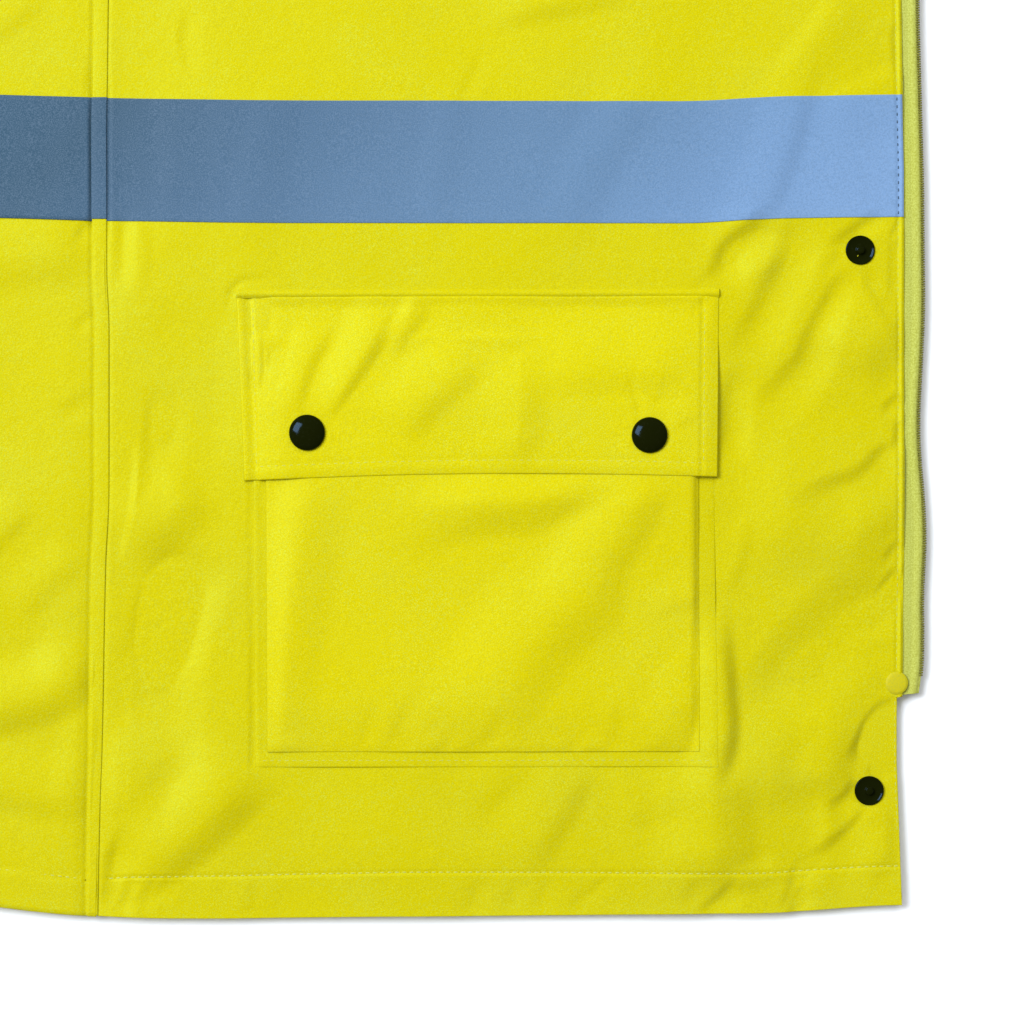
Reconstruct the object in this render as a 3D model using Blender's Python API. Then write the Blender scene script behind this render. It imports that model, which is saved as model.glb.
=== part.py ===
"""High-visibility rain jacket, unzipped, folded in half down the centre of the back and laid flat.

The right front lies on top with its zip edge to the right and its hem toward -Y. The back comes round the
side fold on the left, and the side seam lies 55 mm forward of that fold. Both sleeves lie together to the
left, the right one on top. All sizes are in millimetres in the jacket's own plan: u runs to the right and
v runs up toward the collar, both from the lower front corner of the right front, and z runs up from the
surface that the jacket lies on. The plan is then moved so that the origin is at the bottom centre of the
whole jacket, and written in metres.
"""
import math

import bmesh
import bpy
import numpy as np

MM = 0.001

# Cloth and gaps
WALL = 1.2            # coated cloth
COLLAR_WALL = 2.0     # two layers of cloth
TRIM = 1.0            # reflective tape, gusset, seam laps and zip tape
GAP = 0.3             # between pieces that touch
LAYER = WALL + GAP
CORE_TOP = 3 * WALL + 2 * GAP          # three hidden layers
PANEL_LOW = CORE_TOP + GAP
PANEL_TOP = PANEL_LOW + WALL
ON_PANEL = PANEL_TOP + GAP
ON_TRIM = ON_PANEL + TRIM + GAP

# Body outline
NECK_FRONT = (0.0, 742.0)
NECK_SIDE = (-92.0, 815.0)
SHOULDER = (-285.0, 770.0)
ARMPIT = (-362.0, 500.0)
ARMHOLE_BENDS = ((-336.0, 528.0), (-300.0, 640.0))
NECKLINE_BENDS = ((-50.0, 744.0), (-86.0, 775.0))
# The front edge, how far it stands out at each height above the hem: it steps in below the zip.
FRONT_EDGE = [
    # up, out
    (0, 0.0), (22, -0.8), (58, -2.0), (84, -2.0), (86, 0.2), (125, 0.6), (145, 1.0),
    (265, 1.0), (300, 1.1), (331, 0.3), (370, -0.2), (742, 0.0),
]
# The hem's height from the side fold to the front edge
HEM = [
    # across, up
    (-384, 0.8), (-369, -0.9), (-352, -2.9), (-334, -4.1), (-295, -5.3), (-205, -5.3), (-50, -2.9),
    (-17, 0.0), (0, 0.0),
]
SIDE_SEAM = [
    # up, across
    (-5, -328.7), (59, -326.8), (265, -325.7), (329, -324.8), (370, -324.5), (596.8, -319.4),
]
SIDE_FOLD = [
    # up, across
    (0, -384.0), (200, -381.0), (370, -376.0), (500, -362.0),
]
SEAM_LAP = 5.8        # width of the lapped side seam
BACK_FOLD_IN = 9.0    # centre-back fold, in from the front edge
LOWER_HEMS_IN = 3.0   # hidden hems, up from the top one
# The roll of the back round the side fold
ROLL = (PANEL_TOP - 2 * LAYER) / 2
ROLL_MIDDLE = 2 * LAYER + ROLL

# Points along the armhole, counted from the armpit
ARMHOLE_STEPS = 14
SEAM_JOIN = 7                               # where the side seam meets it
ARMHOLE_PICKS = (0, 2, 5, 7, 10, 12, 14)    # those that the back and the sleeves share

# The largest folds of the right front: soft ridges, clear of what lies on it
FOLDS = [
    # from u, from v, to u, to v, reach to each side, lift
    (-43, 150, -49, 30, 15, 2.6),
    (-27, 88, -50, 78, 17, 2.0),
    (-30, 238, -48, 200, 16, 1.8),
    (-304, 6, -282, 26, 18, 2.4),
    (-40, 168, -22, 120, 19, 1.4),
    (-288, 566, -216, 600, 25, 3.2),
    (-284, 640, -206, 648, 22, 2.6),
    (-60, 706, -130, 560, 28, 2.8),
    (-236, 720, -180, 560, 26, 2.2),
    (-40, 384, -84, 372, 16, 1.8),
    (-250, 386, -196, 372, 16, 1.6),
]

# Collar, laid up from the neckline
COLLAR_TOP_FRONT = (0.0, 828.0)
COLLAR_TOP_SIDE = (-101.0, 886.0)
COLLAR_TOP_BENDS = ((-36.0, 832.0), (-60.0, 880.0))

# Sleeves: cuff corners and the bends of their two edges; the lower one shows a little all round
SLEEVES = {
    # name: (cuff inner, cuff outer, inner edge bends, outer edge bends)
    "sleeve_right": ((-690, 237), (-790, 356), ((-408, 446), (-560, 340)), ((-400, 744), (-560, 562))),
    "sleeve_left": ((-697, 228), (-807, 359), ((-411, 439), (-565, 332)), ((-402, 747), (-568, 571))),
}
SLEEVE_RISE = [
    # share of the length, thickness of the lower sleeve, thickness of the upper sleeve
    (0, 2.7, 2.7), (2 / 12, 3.4, 3.8), (4 / 12, 4.1, 5.0), (8 / 12, 4.3, 5.4), (1, 4.6, 5.6),
]
SLEEVE_BANDS = {"high": (226, 276), "low": (100, 150)}    # up from the cuff
SLEEVE_EDGES = (420.0, 668.0)    # lengths of the inner and the outer edge
SLEEVE_TAPE_GAP = 0.36           # a little more than other gaps, as its facets cross the sleeve at a slant
SLEEVE_STEPS = 12
# A ring round a sleeve is its inner edge, its flat top, its outer edge and its flat underside.
EDGE_TURNS = np.linspace(-math.pi / 2, math.pi / 2, 5)
FLATS = ARMHOLE_PICKS[1:-1]
UPPER_HALF = slice(2, len(FLATS) + 8)
OUTER_EDGE = slice(len(FLATS) + 5, len(FLATS) + 8)

# Reflective bands round the body, 50 mm wide
BAND_LOW = [
    # across, lower edge, upper edge
    (-384, 281.2, 331.4), (-369, 281.0, 331.0), (-330, 279.8, 330.0), (-264, 278.8, 328.8),
    (-83, 278.7, 328.4), (-55, 280.6, 330.2), (0, 281.4, 331.3),
]
BAND_PITCH = 144.0    # from the lower band to the upper one
BAND_MIDDLE = 305.0   # height of the lower band's middle

# Pocket: corners of the gusset's outer edge and of the face that lies on it
POCKET = [
    # outer u, outer v, face u, face v
    (-265.6, 230.0, -260.1, 230.0),
    (-264.3, 56.4, -259.3, 62.7),
    (-75.3, 56.6, -82.9, 62.9),
    (-77.6, 230.0, -83.5, 230.0),
]
GUSSET_UNDER = 7.0    # how far the gusset runs in under the face
FACE_TOP = ON_TRIM + WALL
FLAP_LOW = FACE_TOP + GAP
FLAP = [
    # u, v of its corners: upper side, upper front, lower side, lower front
    (-272.0, 248.7), (-74.9, 249.0), (-268.7, 173.4), (-75.7, 175.0),
]
FLAP_BOW = 2.0        # its lower edge bows up in the middle
FLAP_SLOPE = 13.0     # from the mouth of the pocket down to its seam
FLAP_RIDGE = 2.4
CAP_RADIUS = 7.35
CAP_RISE = 3.4
CAPS = {"flap_cap_side": (-242.9, 193.0), "flap_cap_front": (-103.5, 192.0)}

# Studs down the front edge, 221 mm apart
STUD_RADIUS = 6.0
STUDS = [(-13.5, 46.8), (-17.2, 267.7), (-15.5, 488.6), (-15.5, 709.4)]
RIVET = (-2.25, 90.8)
RIVET_RADIUS = 4.7

# Zip, right half
ZIP_END = 86.0        # lower end of the tape above the hem corner
COIL_END = 94.0
TAPE_UNDER = -6.8     # the tape's hidden edge
COIL_WIDTH = 4.4
ZIP_EDGE = [
    # up, across: the coil's outer edge
    (86, 7.2), (94, 8.6), (108, 9.0), (125, 8.6), (141, 9.6), (265, 9.0), (309, 8.3), (370, 7.4),
    (560, 8.6), (742, 8.2), (826, 8.0),
]

# Colours, roughness, metallic
FINISHES = {
    "yellow_cloth": ((0.82, 0.78, 0.01), 0.55, 0.0),
    "silver_band": ((0.22, 0.33, 0.48), 0.45, 0.3),
    "black_snap": ((0.01, 0.012, 0.01), 0.2, 0.0),
    "zip_tape": ((0.55, 0.62, 0.12), 0.8, 0.0),
    "zip_coil": ((0.35, 0.36, 0.06), 0.5, 0.0),
    "yellow_rivet": ((0.74, 0.7, 0.06), 0.4, 0.0),
    "hidden_cloth": ((0.75, 0.72, 0.03), 0.7, 0.0),
}


def column(table, index):
    return np.array([row[index] for row in table], float)


def read(table, at, index=1):
    """A table's value at a place, straight between its rows."""
    return np.interp(at, column(table, 0), column(table, index))


def line(start, end, steps):
    return np.linspace(start, end, steps + 1)


def bezier(start, bends, end, steps):
    """Points along a cubic curve from start to end, steps + 1 of them."""
    t = np.linspace(0.0, 1.0, steps + 1)[:, None]
    p = np.array([start, *bends, end], float)
    return (1 - t) ** 3 * p[0] + 3 * (1 - t) ** 2 * t * p[1] + 3 * (1 - t) * t**2 * p[2] + t**3 * p[3]


def patch(low, high, left, right):
    """A grid of plan points between four edges that meet at their ends: [along low][along left]."""
    a = np.linspace(0.0, 1.0, len(low))[:, None, None]
    b = np.linspace(0.0, 1.0, len(left))[None, :, None]
    across = (1 - b) * low[:, None] + b * high[:, None]
    along = (1 - a) * left[None] + a * right[None]
    corners = (1 - a) * ((1 - b) * low[0] + b * high[0]) + a * ((1 - b) * low[-1] + b * high[-1])
    return across + along - corners


def unit(vectors):
    return vectors / np.linalg.norm(vectors, axis=-1, keepdims=True)


def inward(outline, distance):
    """A closed counterclockwise outline moved in, with mitred corners."""
    edges = unit(np.roll(outline, -1, axis=0) - outline)
    normals = np.stack([-edges[:, 1], edges[:, 0]], axis=1)
    middle = unit(normals + np.roll(normals, 1, axis=0))
    reach = np.maximum((middle * normals).sum(axis=1), 0.35)[:, None]
    return outline + middle * distance / reach


def raised(plan, z):
    """Plan points with a height, one number or one for each point."""
    return np.concatenate([plan, np.broadcast_to(z, plan.shape[:-1])[..., None]], axis=-1)


class Piece:
    """The points and faces of one closed solid."""

    def __init__(self):
        self.points = []
        self.faces = []

    def add(self, points):
        """Adds a grid of points and returns their numbers in the same grid."""
        first = len(self.points)
        self.points.extend(points.reshape(-1, 3).tolist())
        return np.arange(first, len(self.points)).reshape(points.shape[:-1])

    def skin(self, ids, flip=False, closed=False):
        """Faces between neighbouring rows of numbers; closed joins each row's end to its start."""
        if closed:
            ids = np.concatenate([ids, ids[:, :1]], axis=1)
        quads = np.stack([ids[:-1, :-1], ids[1:, :-1], ids[1:, 1:], ids[:-1, 1:]], axis=-1).reshape(-1, 4)
        self.faces.extend((quads[:, ::-1] if flip else quads).tolist())


def wall(top, bottom):
    """A closed wall between two grids of points of the same shape."""
    piece = Piece()
    over, under = piece.add(top), piece.add(bottom)
    piece.skin(over)
    piece.skin(under, flip=True)
    rims = [np.concatenate([g[:, 0], g[-1, 1:], g[-2::-1, -1], g[0, -2:0:-1]]) for g in (over, under)]
    piece.skin(np.stack(rims), closed=True)
    return piece


def stack(rings):
    """A closed solid through level rings of the same number of points, from the lowest up."""
    piece = Piece()
    ids = piece.add(np.stack(rings))
    piece.skin(ids, closed=True)
    piece.faces.append(ids[0].tolist())
    piece.faces.append(ids[-1].tolist())
    return piece


def tube(outer, inner):
    """A wall round a flattened tube with open ends, from two grids [along][round]."""
    piece = Piece()
    over, under = piece.add(outer), piece.add(inner)
    piece.skin(over, closed=True)
    piece.skin(under, flip=True, closed=True)
    for end in (0, -1):
        piece.skin(np.stack([over[end], under[end]]), closed=True)
    return piece


def turned(profile, centre, base, sides=20):
    """A solid turned about an upright axis: radius and height pairs, from the base up."""
    angles = np.linspace(0, 2 * math.pi, sides, endpoint=False)
    circle = np.stack([np.cos(angles), np.sin(angles)], axis=1)
    return stack([raised(np.array(centre) + radius * circle, base + height) for radius, height in profile])


# Plan lines that pieces share


def armhole():
    """From the armpit to the shoulder."""
    return bezier(ARMPIT, ARMHOLE_BENDS, SHOULDER, ARMHOLE_STEPS)


def neckline():
    return bezier(NECK_FRONT, NECKLINE_BENDS, NECK_SIDE, 7)


def collar_top():
    return bezier(COLLAR_TOP_FRONT, COLLAR_TOP_BENDS, COLLAR_TOP_SIDE, 7)


def between(table, shift, heights):
    """Plan points along an upright line of a table, at the given heights."""
    return np.stack([read(table, heights) + shift, heights], axis=-1)


# Right front


def fold_lift(plan):
    """How far the right front rises over the hidden layers: its ridges, each falling off to both sides."""
    total = np.zeros(plan.shape[:-1])
    for u0, v0, u1, v1, reach, lift in FOLDS:
        start, run = np.array([u0, v0]), np.array([u1 - u0, v1 - v0])
        along = np.clip(((plan - start) @ run) / (run @ run), 0, 1)
        away = np.linalg.norm(plan - start - along[..., None] * run, axis=-1)
        total += lift * np.clip(1 - (away / reach) ** 2, 0, 1)
    return total


def front_plan():
    """[side seam to front edge][hem to shoulder and neckline]"""
    upper = armhole()[SEAM_JOIN:]
    low_across = line(SIDE_SEAM[0][1], 0, 18)
    low = np.stack([low_across, read(HEM, low_across)], axis=1)
    seam = between(SIDE_SEAM, 0, line(low[0, 1], upper[0, 1], 24))
    seam[-1] = upper[0]
    left = np.concatenate([seam, upper[1:]])
    right = between(FRONT_EDGE, 0, line(0, NECK_FRONT[1], len(left) - 1))
    high = np.concatenate([line(SHOULDER, NECK_SIDE, 11), neckline()[-2::-1]])
    low[0] = left[0]
    return patch(low, high, left, right)


def front_right():
    plan = front_plan()
    plan[0, :, 0] += GAP
    lift = fold_lift(plan)
    return wall(raised(plan, PANEL_TOP + lift), raised(plan, PANEL_LOW + lift))


# Back, with its roll round the side fold


def round_side_fold(plan, low, high, reach):
    """A wall over plan, [toward the fold][up], that goes on round the side fold.

    low and high are the wall's radii about the fold's middle line, and reach is how far round it goes.
    """
    faces = []
    for radius in (high, low):
        columns = [raised(p, ROLL_MIDDLE + radius) for p in plan]
        for turn in np.linspace(0, reach, 6)[1:]:
            place = plan[-1] - (radius * math.sin(turn), 0)
            columns.append(raised(place, ROLL_MIDDLE + radius * math.cos(turn)))
        faces.append(np.stack(columns))
    return wall(*faces)


def back():
    points = armhole()[SEAM_JOIN::-1]
    shares = line(0, 1, len(points) - 1)
    foot_across = SIDE_SEAM[0][1] + shares * (SIDE_FOLD[0][1] - SIDE_SEAM[0][1])
    foot = np.stack([foot_across, read(HEM, foot_across)], axis=1)
    seam = between(SIDE_SEAM, 0, line(foot[0, 1], points[0, 1], 24))
    seam[-1] = points[0]
    fold = between(SIDE_FOLD, 0, line(foot[-1, 1], points[-1, 1], 24))
    foot[0], foot[-1] = seam[0], fold[0]
    picks = [SEAM_JOIN - k for k in ARMHOLE_PICKS[::-1] if k <= SEAM_JOIN]
    plan = patch(foot, points, seam, fold)[picks]
    plan[-1, :, 0] += ROLL
    return round_side_fold(plan, ROLL - WALL, ROLL, math.pi)


def side_seam():
    heights = line(SIDE_SEAM[0][0] + 1, SIDE_SEAM[-1][0] - 6, 18)
    plan = np.stack([between(SIDE_SEAM, shift, heights) for shift in (-SEAM_LAP, 0)])
    return wall(raised(plan, ON_PANEL + TRIM), raised(plan, ON_PANEL))


# Hidden layers


def folded_layers():
    """Both halves of the back and the left front: one solid, cut in at its rim between its three layers."""
    across = column(HEM, 0)
    hem = np.stack([across, column(HEM, 1) + LOWER_HEMS_IN], axis=1)
    hem[-1, 0] = -BACK_FOLD_IN
    right = line((-BACK_FOLD_IN, 250), (-BACK_FOLD_IN, COLLAR_TOP_FRONT[1] - 2), 2)
    top = collar_top()[1:] - (0, 2)
    shoulder = line(NECK_SIDE, SHOULDER, 2)[:-1]
    side = between(SIDE_FOLD, 0, column(SIDE_FOLD, 0)[-2:0:-1])
    outline = np.concatenate([hem, right, top, shoulder, armhole()[::-1], side])
    rim = [
        # height, in from the outline
        (0.0, 0.6), (0.3, 0.0), (1.0, 0.0), (1.35, 2.4), (1.7, 0.4), (2.5, 0.4), (2.85, 3.2),
        (3.1, 2.0), (3.9, 2.0), (CORE_TOP, 2.4),
    ]
    return stack([raised(inward(outline, distance), height) for height, distance in rim])


# Collar


def collar():
    low = neckline() + (0, GAP)
    low[:, 0] += line(0, GAP, len(low) - 1)
    front = line(low[0], COLLAR_TOP_FRONT, 4)
    side = line(low[-1], COLLAR_TOP_SIDE, 4)
    plan = patch(low, collar_top(), front, side)
    return wall(raised(plan, PANEL_LOW + COLLAR_WALL), raised(plan, PANEL_LOW))


# Sleeves: flattened tubes, open at the armhole and the cuff


def sleeve_plan(name):
    """[armhole to cuff][inner edge to outer edge], clear of the armhole by a gap."""
    cuff_inner, cuff_outer, inner_bends, outer_bends = SLEEVES[name]
    top = armhole()
    along = unit(np.gradient(top, axis=0))
    top += 1.2 * GAP * np.stack([-along[:, 1], along[:, 0]], axis=1)
    inner = bezier(top[0], inner_bends, cuff_inner, SLEEVE_STEPS)
    outer = bezier(top[-1], outer_bends, cuff_outer, SLEEVE_STEPS)
    return patch(inner, outer, top, line(cuff_inner, cuff_outer, len(top) - 1))


def sleeve_rings(name, grow, shares):
    """Rings round a sleeve, [along][round].

    shares says how far down the sleeve each armhole point's line is cut. grow moves the rings out from the
    cloth's outer face, or in where it is negative.
    """
    grid = sleeve_plan(name)
    steps = line(0, 1, SLEEVE_STEPS)
    columns = [[np.interp(shares[:, k], steps, grid[:, k, c]) for c in (0, 1)] for k in range(grid.shape[1])]
    plan = np.array(columns).transpose(2, 0, 1)
    lower, upper = read(SLEEVE_RISE, shares, 1), read(SLEEVE_RISE, shares, 2)
    lies_on_floor = name == "sleeve_left"
    half = (lower if lies_on_floor else upper) / 2
    middle = half if lies_on_floor else lower + GAP + half
    radius = half + grow
    ring = []
    for end, next_in, side in ((0, 1, 1), (-1, -2, -1)):
        out = unit(plan[:, end] - plan[:, next_in])
        centre = plan[:, end] - out * half[:, end, None]
        for turn in side * EDGE_TURNS:
            place = centre + out * (radius[:, end, None] * math.cos(turn))
            ring.append(raised(place, middle[:, end] + radius[:, end] * math.sin(turn)))
        for k in FLATS[::side]:
            ring.append(raised(plan[:, k], middle[:, k] + side * radius[:, k]))
    return np.stack(ring, axis=1)


def sleeve(name):
    shares = np.repeat(line(0, 1, SLEEVE_STEPS)[:, None], len(armhole()), axis=1)
    return tube(sleeve_rings(name, 0, shares), sleeve_rings(name, -WALL, shares))


def straight_cut(grid, from_cuff):
    """How far down each line along a sleeve a straight cut crosses it, that far from the cuff at both edges."""
    steps = line(0, 1, SLEEVE_STEPS)
    inner, outer = (
        np.array([np.interp(1 - from_cuff / length, steps, grid[:, k, c]) for c in (0, 1)])
        for k, length in zip((0, -1), SLEEVE_EDGES)
    )
    across = unit(outer - inner)
    away = grid - inner
    past = across[0] * away[..., 1] - across[1] * away[..., 0]
    return np.array([np.interp(0.0, column, steps) for column in past.T])


def sleeve_band(name, ends):
    """Tape straight across the sleeve: over the upper one's top, and round the lower one's outer edge."""
    part = UPPER_HALF if name == "sleeve_right" else OUTER_EDGE
    grid = sleeve_plan(name)
    shares = np.stack([straight_cut(grid, from_cuff) for from_cuff in line(ends[1], ends[0], 3)])
    grown = (SLEEVE_TAPE_GAP + TRIM, SLEEVE_TAPE_GAP)
    outer, inner = (sleeve_rings(name, grow, shares)[:, part] for grow in grown)
    return wall(outer, inner)


# Bands round the body


def band_plan(left, right, steps, rise):
    """[across][up] between two upright lines, each a table and a shift, following the tape's two edges."""
    shares = line(0, 1, steps)[:, None]
    height = BAND_MIDDLE + rise
    ends = [read(table, height) + shift for table, shift in (left, right)]
    across = ends[0] + shares[:, 0] * (ends[1] - ends[0])
    low, high = (read(BAND_LOW, across, k) + rise for k in (1, 2))
    up = np.stack([low, (low + high) / 2, high], axis=1)
    sides = [read(table, up) + shift for table, shift in (left, right)]
    return np.stack([sides[0] + shares * (sides[1] - sides[0]), up], axis=-1)


def bands(place, rise):
    """The tape on the front, on the seam's lap and on the back, at one height."""
    front = band_plan((SIDE_SEAM, GAP), (FRONT_EDGE, -GAP), 12, rise)
    over = band_plan((SIDE_SEAM, -SEAM_LAP), (SIDE_SEAM, 0), 1, rise)
    behind = band_plan((SIDE_SEAM, -SEAM_LAP - GAP), (SIDE_FOLD, ROLL), 3, rise)
    return {
        f"band_{place}_front": wall(raised(front, ON_PANEL + TRIM), raised(front, ON_PANEL)),
        f"band_{place}_seam": wall(raised(over, ON_TRIM + TRIM), raised(over, ON_TRIM)),
        f"band_{place}_back": round_side_fold(behind, ROLL + GAP, ROLL + GAP + TRIM, math.pi / 2),
    }


# Pocket


def pocket_gusset():
    """A strip round three sides, sewn to the front and running in under the face."""
    outer = np.array([row[:2] for row in POCKET])
    inner = np.array([row[2:] for row in POCKET])
    inner += GUSSET_UNDER * np.array([(1, 0), (1, 1), (-1, 1), (-1, 0)])
    plan = np.stack([outer, inner])
    return wall(raised(plan, ON_PANEL + TRIM), raised(plan, ON_PANEL))


def pocket_face():
    corners = np.array([row[2:] for row in POCKET])
    plan = np.stack([corners[[1, 0]], corners[[2, 3]]])
    return wall(raised(plan, FACE_TOP), raised(plan, ON_TRIM))


def pocket_flap():
    """It lies on the face and comes down to the front above the pocket's mouth."""
    upper_side, upper_front, lower_side, lower_front = np.array(FLAP)
    low = line(lower_side, lower_front, 8)
    low[:, 1] += FLAP_BOW * np.sin(math.pi * line(0, 1, 8))
    high = line(upper_side, upper_front, 8)
    rows = np.array([0, 0.3, 0.6, 0.78, 0.86, 0.96, 1.0])[:, None, None]
    plan = (low + rows * (high - low)).transpose(1, 0, 2)
    below = np.array(FLAP)[0, 1] - plan[..., 1]
    z = np.interp(below, [0, 3, 3 + FLAP_SLOPE], [ON_PANEL, ON_PANEL, FLAP_LOW])
    return wall(raised(plan, z + WALL), raised(plan, z))


def flap_seam():
    """The ridge of the seam that holds the flap."""
    foot = np.array(FLAP[:2]) + (0, GAP)
    plan = np.stack([foot, foot + (0, FLAP_RIDGE)], axis=1)
    return wall(raised(plan, ON_PANEL + 1.5 * TRIM), raised(plan, ON_PANEL))


def flap_cap(centre):
    profile = [
        # radius, height
        (0.93 * CAP_RADIUS, 0.0), (CAP_RADIUS, 0.5), (CAP_RADIUS, 1.0), (0.9 * CAP_RADIUS, 0.6 * CAP_RISE),
        (0.62 * CAP_RADIUS, 0.88 * CAP_RISE), (0.25 * CAP_RADIUS, CAP_RISE),
    ]
    return turned(profile, centre, FLAP_LOW + LAYER)


# Fastenings down the front edge


def stud(centre):
    """The male half: a flange with a waisted post."""
    profile = [
        (0.95 * STUD_RADIUS, 0.0), (STUD_RADIUS, 0.4), (0.86 * STUD_RADIUS, 1.2), (0.42 * STUD_RADIUS, 1.3),
        (0.36 * STUD_RADIUS, 2.0), (0.4 * STUD_RADIUS, 2.6), (0.22 * STUD_RADIUS, 3.0),
    ]
    return turned(profile, centre, ON_PANEL)


def zip_rivet():
    profile = [
        (RIVET_RADIUS, 0.0), (RIVET_RADIUS, 0.4), (0.8 * RIVET_RADIUS, 1.2), (0.35 * RIVET_RADIUS, 1.6),
    ]
    return turned(profile, RIVET, ON_PANEL)


def zip_plan(first, shifts):
    heights = np.concatenate([[first], [up for up in column(ZIP_EDGE, 0) if first + 3 < up]])
    return np.stack([between(ZIP_EDGE, shift, heights) for shift in shifts])


def zip_tape():
    """It comes out from under the front edge, level with the top hidden layer."""
    plan = zip_plan(ZIP_END, (0, -1.2))
    plan[0, :, 0] = TAPE_UNDER
    return wall(raised(plan, CORE_TOP), raised(plan, CORE_TOP - 0.9 * TRIM))


def zip_coil():
    plan = zip_plan(COIL_END, (-COIL_WIDTH, -0.75 * COIL_WIDTH, -0.2 * COIL_WIDTH, 0))
    arch = np.array([0.7, 1.5, 1.5, 0.7])[:, None]
    return wall(raised(plan, PANEL_LOW + arch), raised(plan, PANEL_LOW))


def finish(name):
    """A material of one of the named finishes."""
    if name in bpy.data.materials:
        return bpy.data.materials[name]
    colour, roughness, metallic = FINISHES[name]
    made = bpy.data.materials.new(name)
    made.use_nodes = True
    shader = made.node_tree.nodes["Principled BSDF"]
    shader.inputs["Base Color"].default_value = (*colour, 1.0)
    shader.inputs["Roughness"].default_value = roughness
    shader.inputs["Metallic"].default_value = metallic
    return made


def pieces():
    """Every piece with its finish, by name, in plan millimetres."""
    made = {
        "front_right": (front_right(), "yellow_cloth"),
        "back": (back(), "yellow_cloth"),
        "folded_layers": (folded_layers(), "hidden_cloth"),
        "side_seam": (side_seam(), "yellow_cloth"),
        "collar": (collar(), "yellow_cloth"),
        "pocket_gusset": (pocket_gusset(), "yellow_cloth"),
        "pocket_face": (pocket_face(), "yellow_cloth"),
        "pocket_flap": (pocket_flap(), "yellow_cloth"),
        "flap_seam": (flap_seam(), "yellow_cloth"),
        "zip_tape": (zip_tape(), "zip_tape"),
        "zip_coil": (zip_coil(), "zip_coil"),
        "zip_rivet": (zip_rivet(), "yellow_rivet"),
    }
    for name in SLEEVES:
        made[name] = (sleeve(name), "yellow_cloth")
        for place, ends in SLEEVE_BANDS.items():
            made[f"band_{name}_{place}"] = (sleeve_band(name, ends), "silver_band")
    for place, rise in (("low", 0.0), ("high", BAND_PITCH)):
        for name, piece in bands(place, rise).items():
            made[name] = (piece, "silver_band")
    for name, centre in CAPS.items():
        made[name] = (flap_cap(centre), "black_snap")
    for number, centre in enumerate(STUDS, 1):
        made[f"stud_{number}"] = (stud(centre), "black_snap")
    return made


def main():
    for old in list(bpy.data.objects):
        bpy.data.objects.remove(old, do_unlink=True)
    made = pieces()
    everything = np.concatenate([piece.points for piece, _ in made.values()])
    origin = (everything.min(axis=0) + everything.max(axis=0)) / 2
    origin[2] = 0.0
    for name, (piece, look) in made.items():
        mesh = bpy.data.meshes.new(name)
        mesh.from_pydata(((np.array(piece.points) - origin) * MM).tolist(), [], piece.faces)
        edit = bmesh.new()
        edit.from_mesh(mesh)
        bmesh.ops.recalc_face_normals(edit, faces=edit.faces)
        edit.to_mesh(mesh)
        edit.free()
        mesh.materials.append(finish(look))
        bpy.context.collection.objects.link(bpy.data.objects.new(name, mesh))


main()
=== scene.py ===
"""Looks of the high-visibility rain jacket: laid flat, unzipped, folded in half down the back.

Everything is worked out in millimetres in the jacket's own plan and then moved into the frame: u runs to the
right and v runs up toward the collar, both from the lower front corner of the right front, and z runs up from
the surface that the jacket lies on.
"""
import math

import bpy
import numpy as np
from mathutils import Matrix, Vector


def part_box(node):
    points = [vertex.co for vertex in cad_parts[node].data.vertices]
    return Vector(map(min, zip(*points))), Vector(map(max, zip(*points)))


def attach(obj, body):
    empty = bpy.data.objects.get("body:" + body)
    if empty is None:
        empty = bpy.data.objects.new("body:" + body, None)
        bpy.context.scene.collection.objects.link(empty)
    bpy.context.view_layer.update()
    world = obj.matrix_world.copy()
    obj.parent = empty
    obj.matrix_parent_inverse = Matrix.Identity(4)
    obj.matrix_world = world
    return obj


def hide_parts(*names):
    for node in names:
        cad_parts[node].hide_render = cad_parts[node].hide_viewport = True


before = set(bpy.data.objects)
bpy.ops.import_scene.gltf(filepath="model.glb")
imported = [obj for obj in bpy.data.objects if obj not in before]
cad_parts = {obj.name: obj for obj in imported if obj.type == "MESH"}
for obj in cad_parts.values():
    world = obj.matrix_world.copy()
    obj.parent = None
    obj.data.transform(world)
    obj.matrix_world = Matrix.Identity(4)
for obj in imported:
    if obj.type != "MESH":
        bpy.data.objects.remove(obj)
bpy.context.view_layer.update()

MM = 0.001

# Heights of the layers
GAP = 0.3
CORE_TOP = 4.2
PANEL_LOW = 4.5
PANEL_TOP = 5.7
LOFT = 1.0                # how far the front lifts off the layers beneath it
FRONT_LEVEL = PANEL_TOP + LOFT
DEEPEST = CORE_TOP + 0.5  # no fold goes below this
FOLD_MIDDLE = 4.35        # middle line of the roll round the side fold
FOLD_RADIUS = 1.35

# Body outline
HEM_LOW = -5.3            # lowest point of the hem
NECK_FRONT = (0.0, 742.0)
NECK_SIDE = (-92.0, 815.0)
SHOULDER = (-285.0, 770.0)
ARMPIT = (-362.0, 500.0)
ARMHOLE_BENDS = ((-336.0, 528.0), (-300.0, 640.0))
NECKLINE_BENDS = ((-50.0, 744.0), (-86.0, 775.0))
FRONT_EDGE = [
    # up, out
    (-10, 0.0), (0, 0.0), (22, -0.8), (58, -2.0), (84.9, -2.0), (85.1, 0.2), (125, 0.6), (145, 1.0),
    (265, 1.0), (300, 1.1), (331, 0.3), (370, -0.2), (742, 0.0), (830, 0.0),
]
HEM = [
    # across, up
    (-400, 1.5), (-384, 1.0), (-369, -0.6), (-352, -2.8), (-334, -4.3), (-307, -5.5), (-279, -5.6),
    (-222, -4.9), (-193, -4.7), (-136, -4.2), (-78, -3.6), (-50, -3.3), (-21, -1.1), (-8, -0.2), (0, 0.0),
    (10, 0.0),
]
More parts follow.
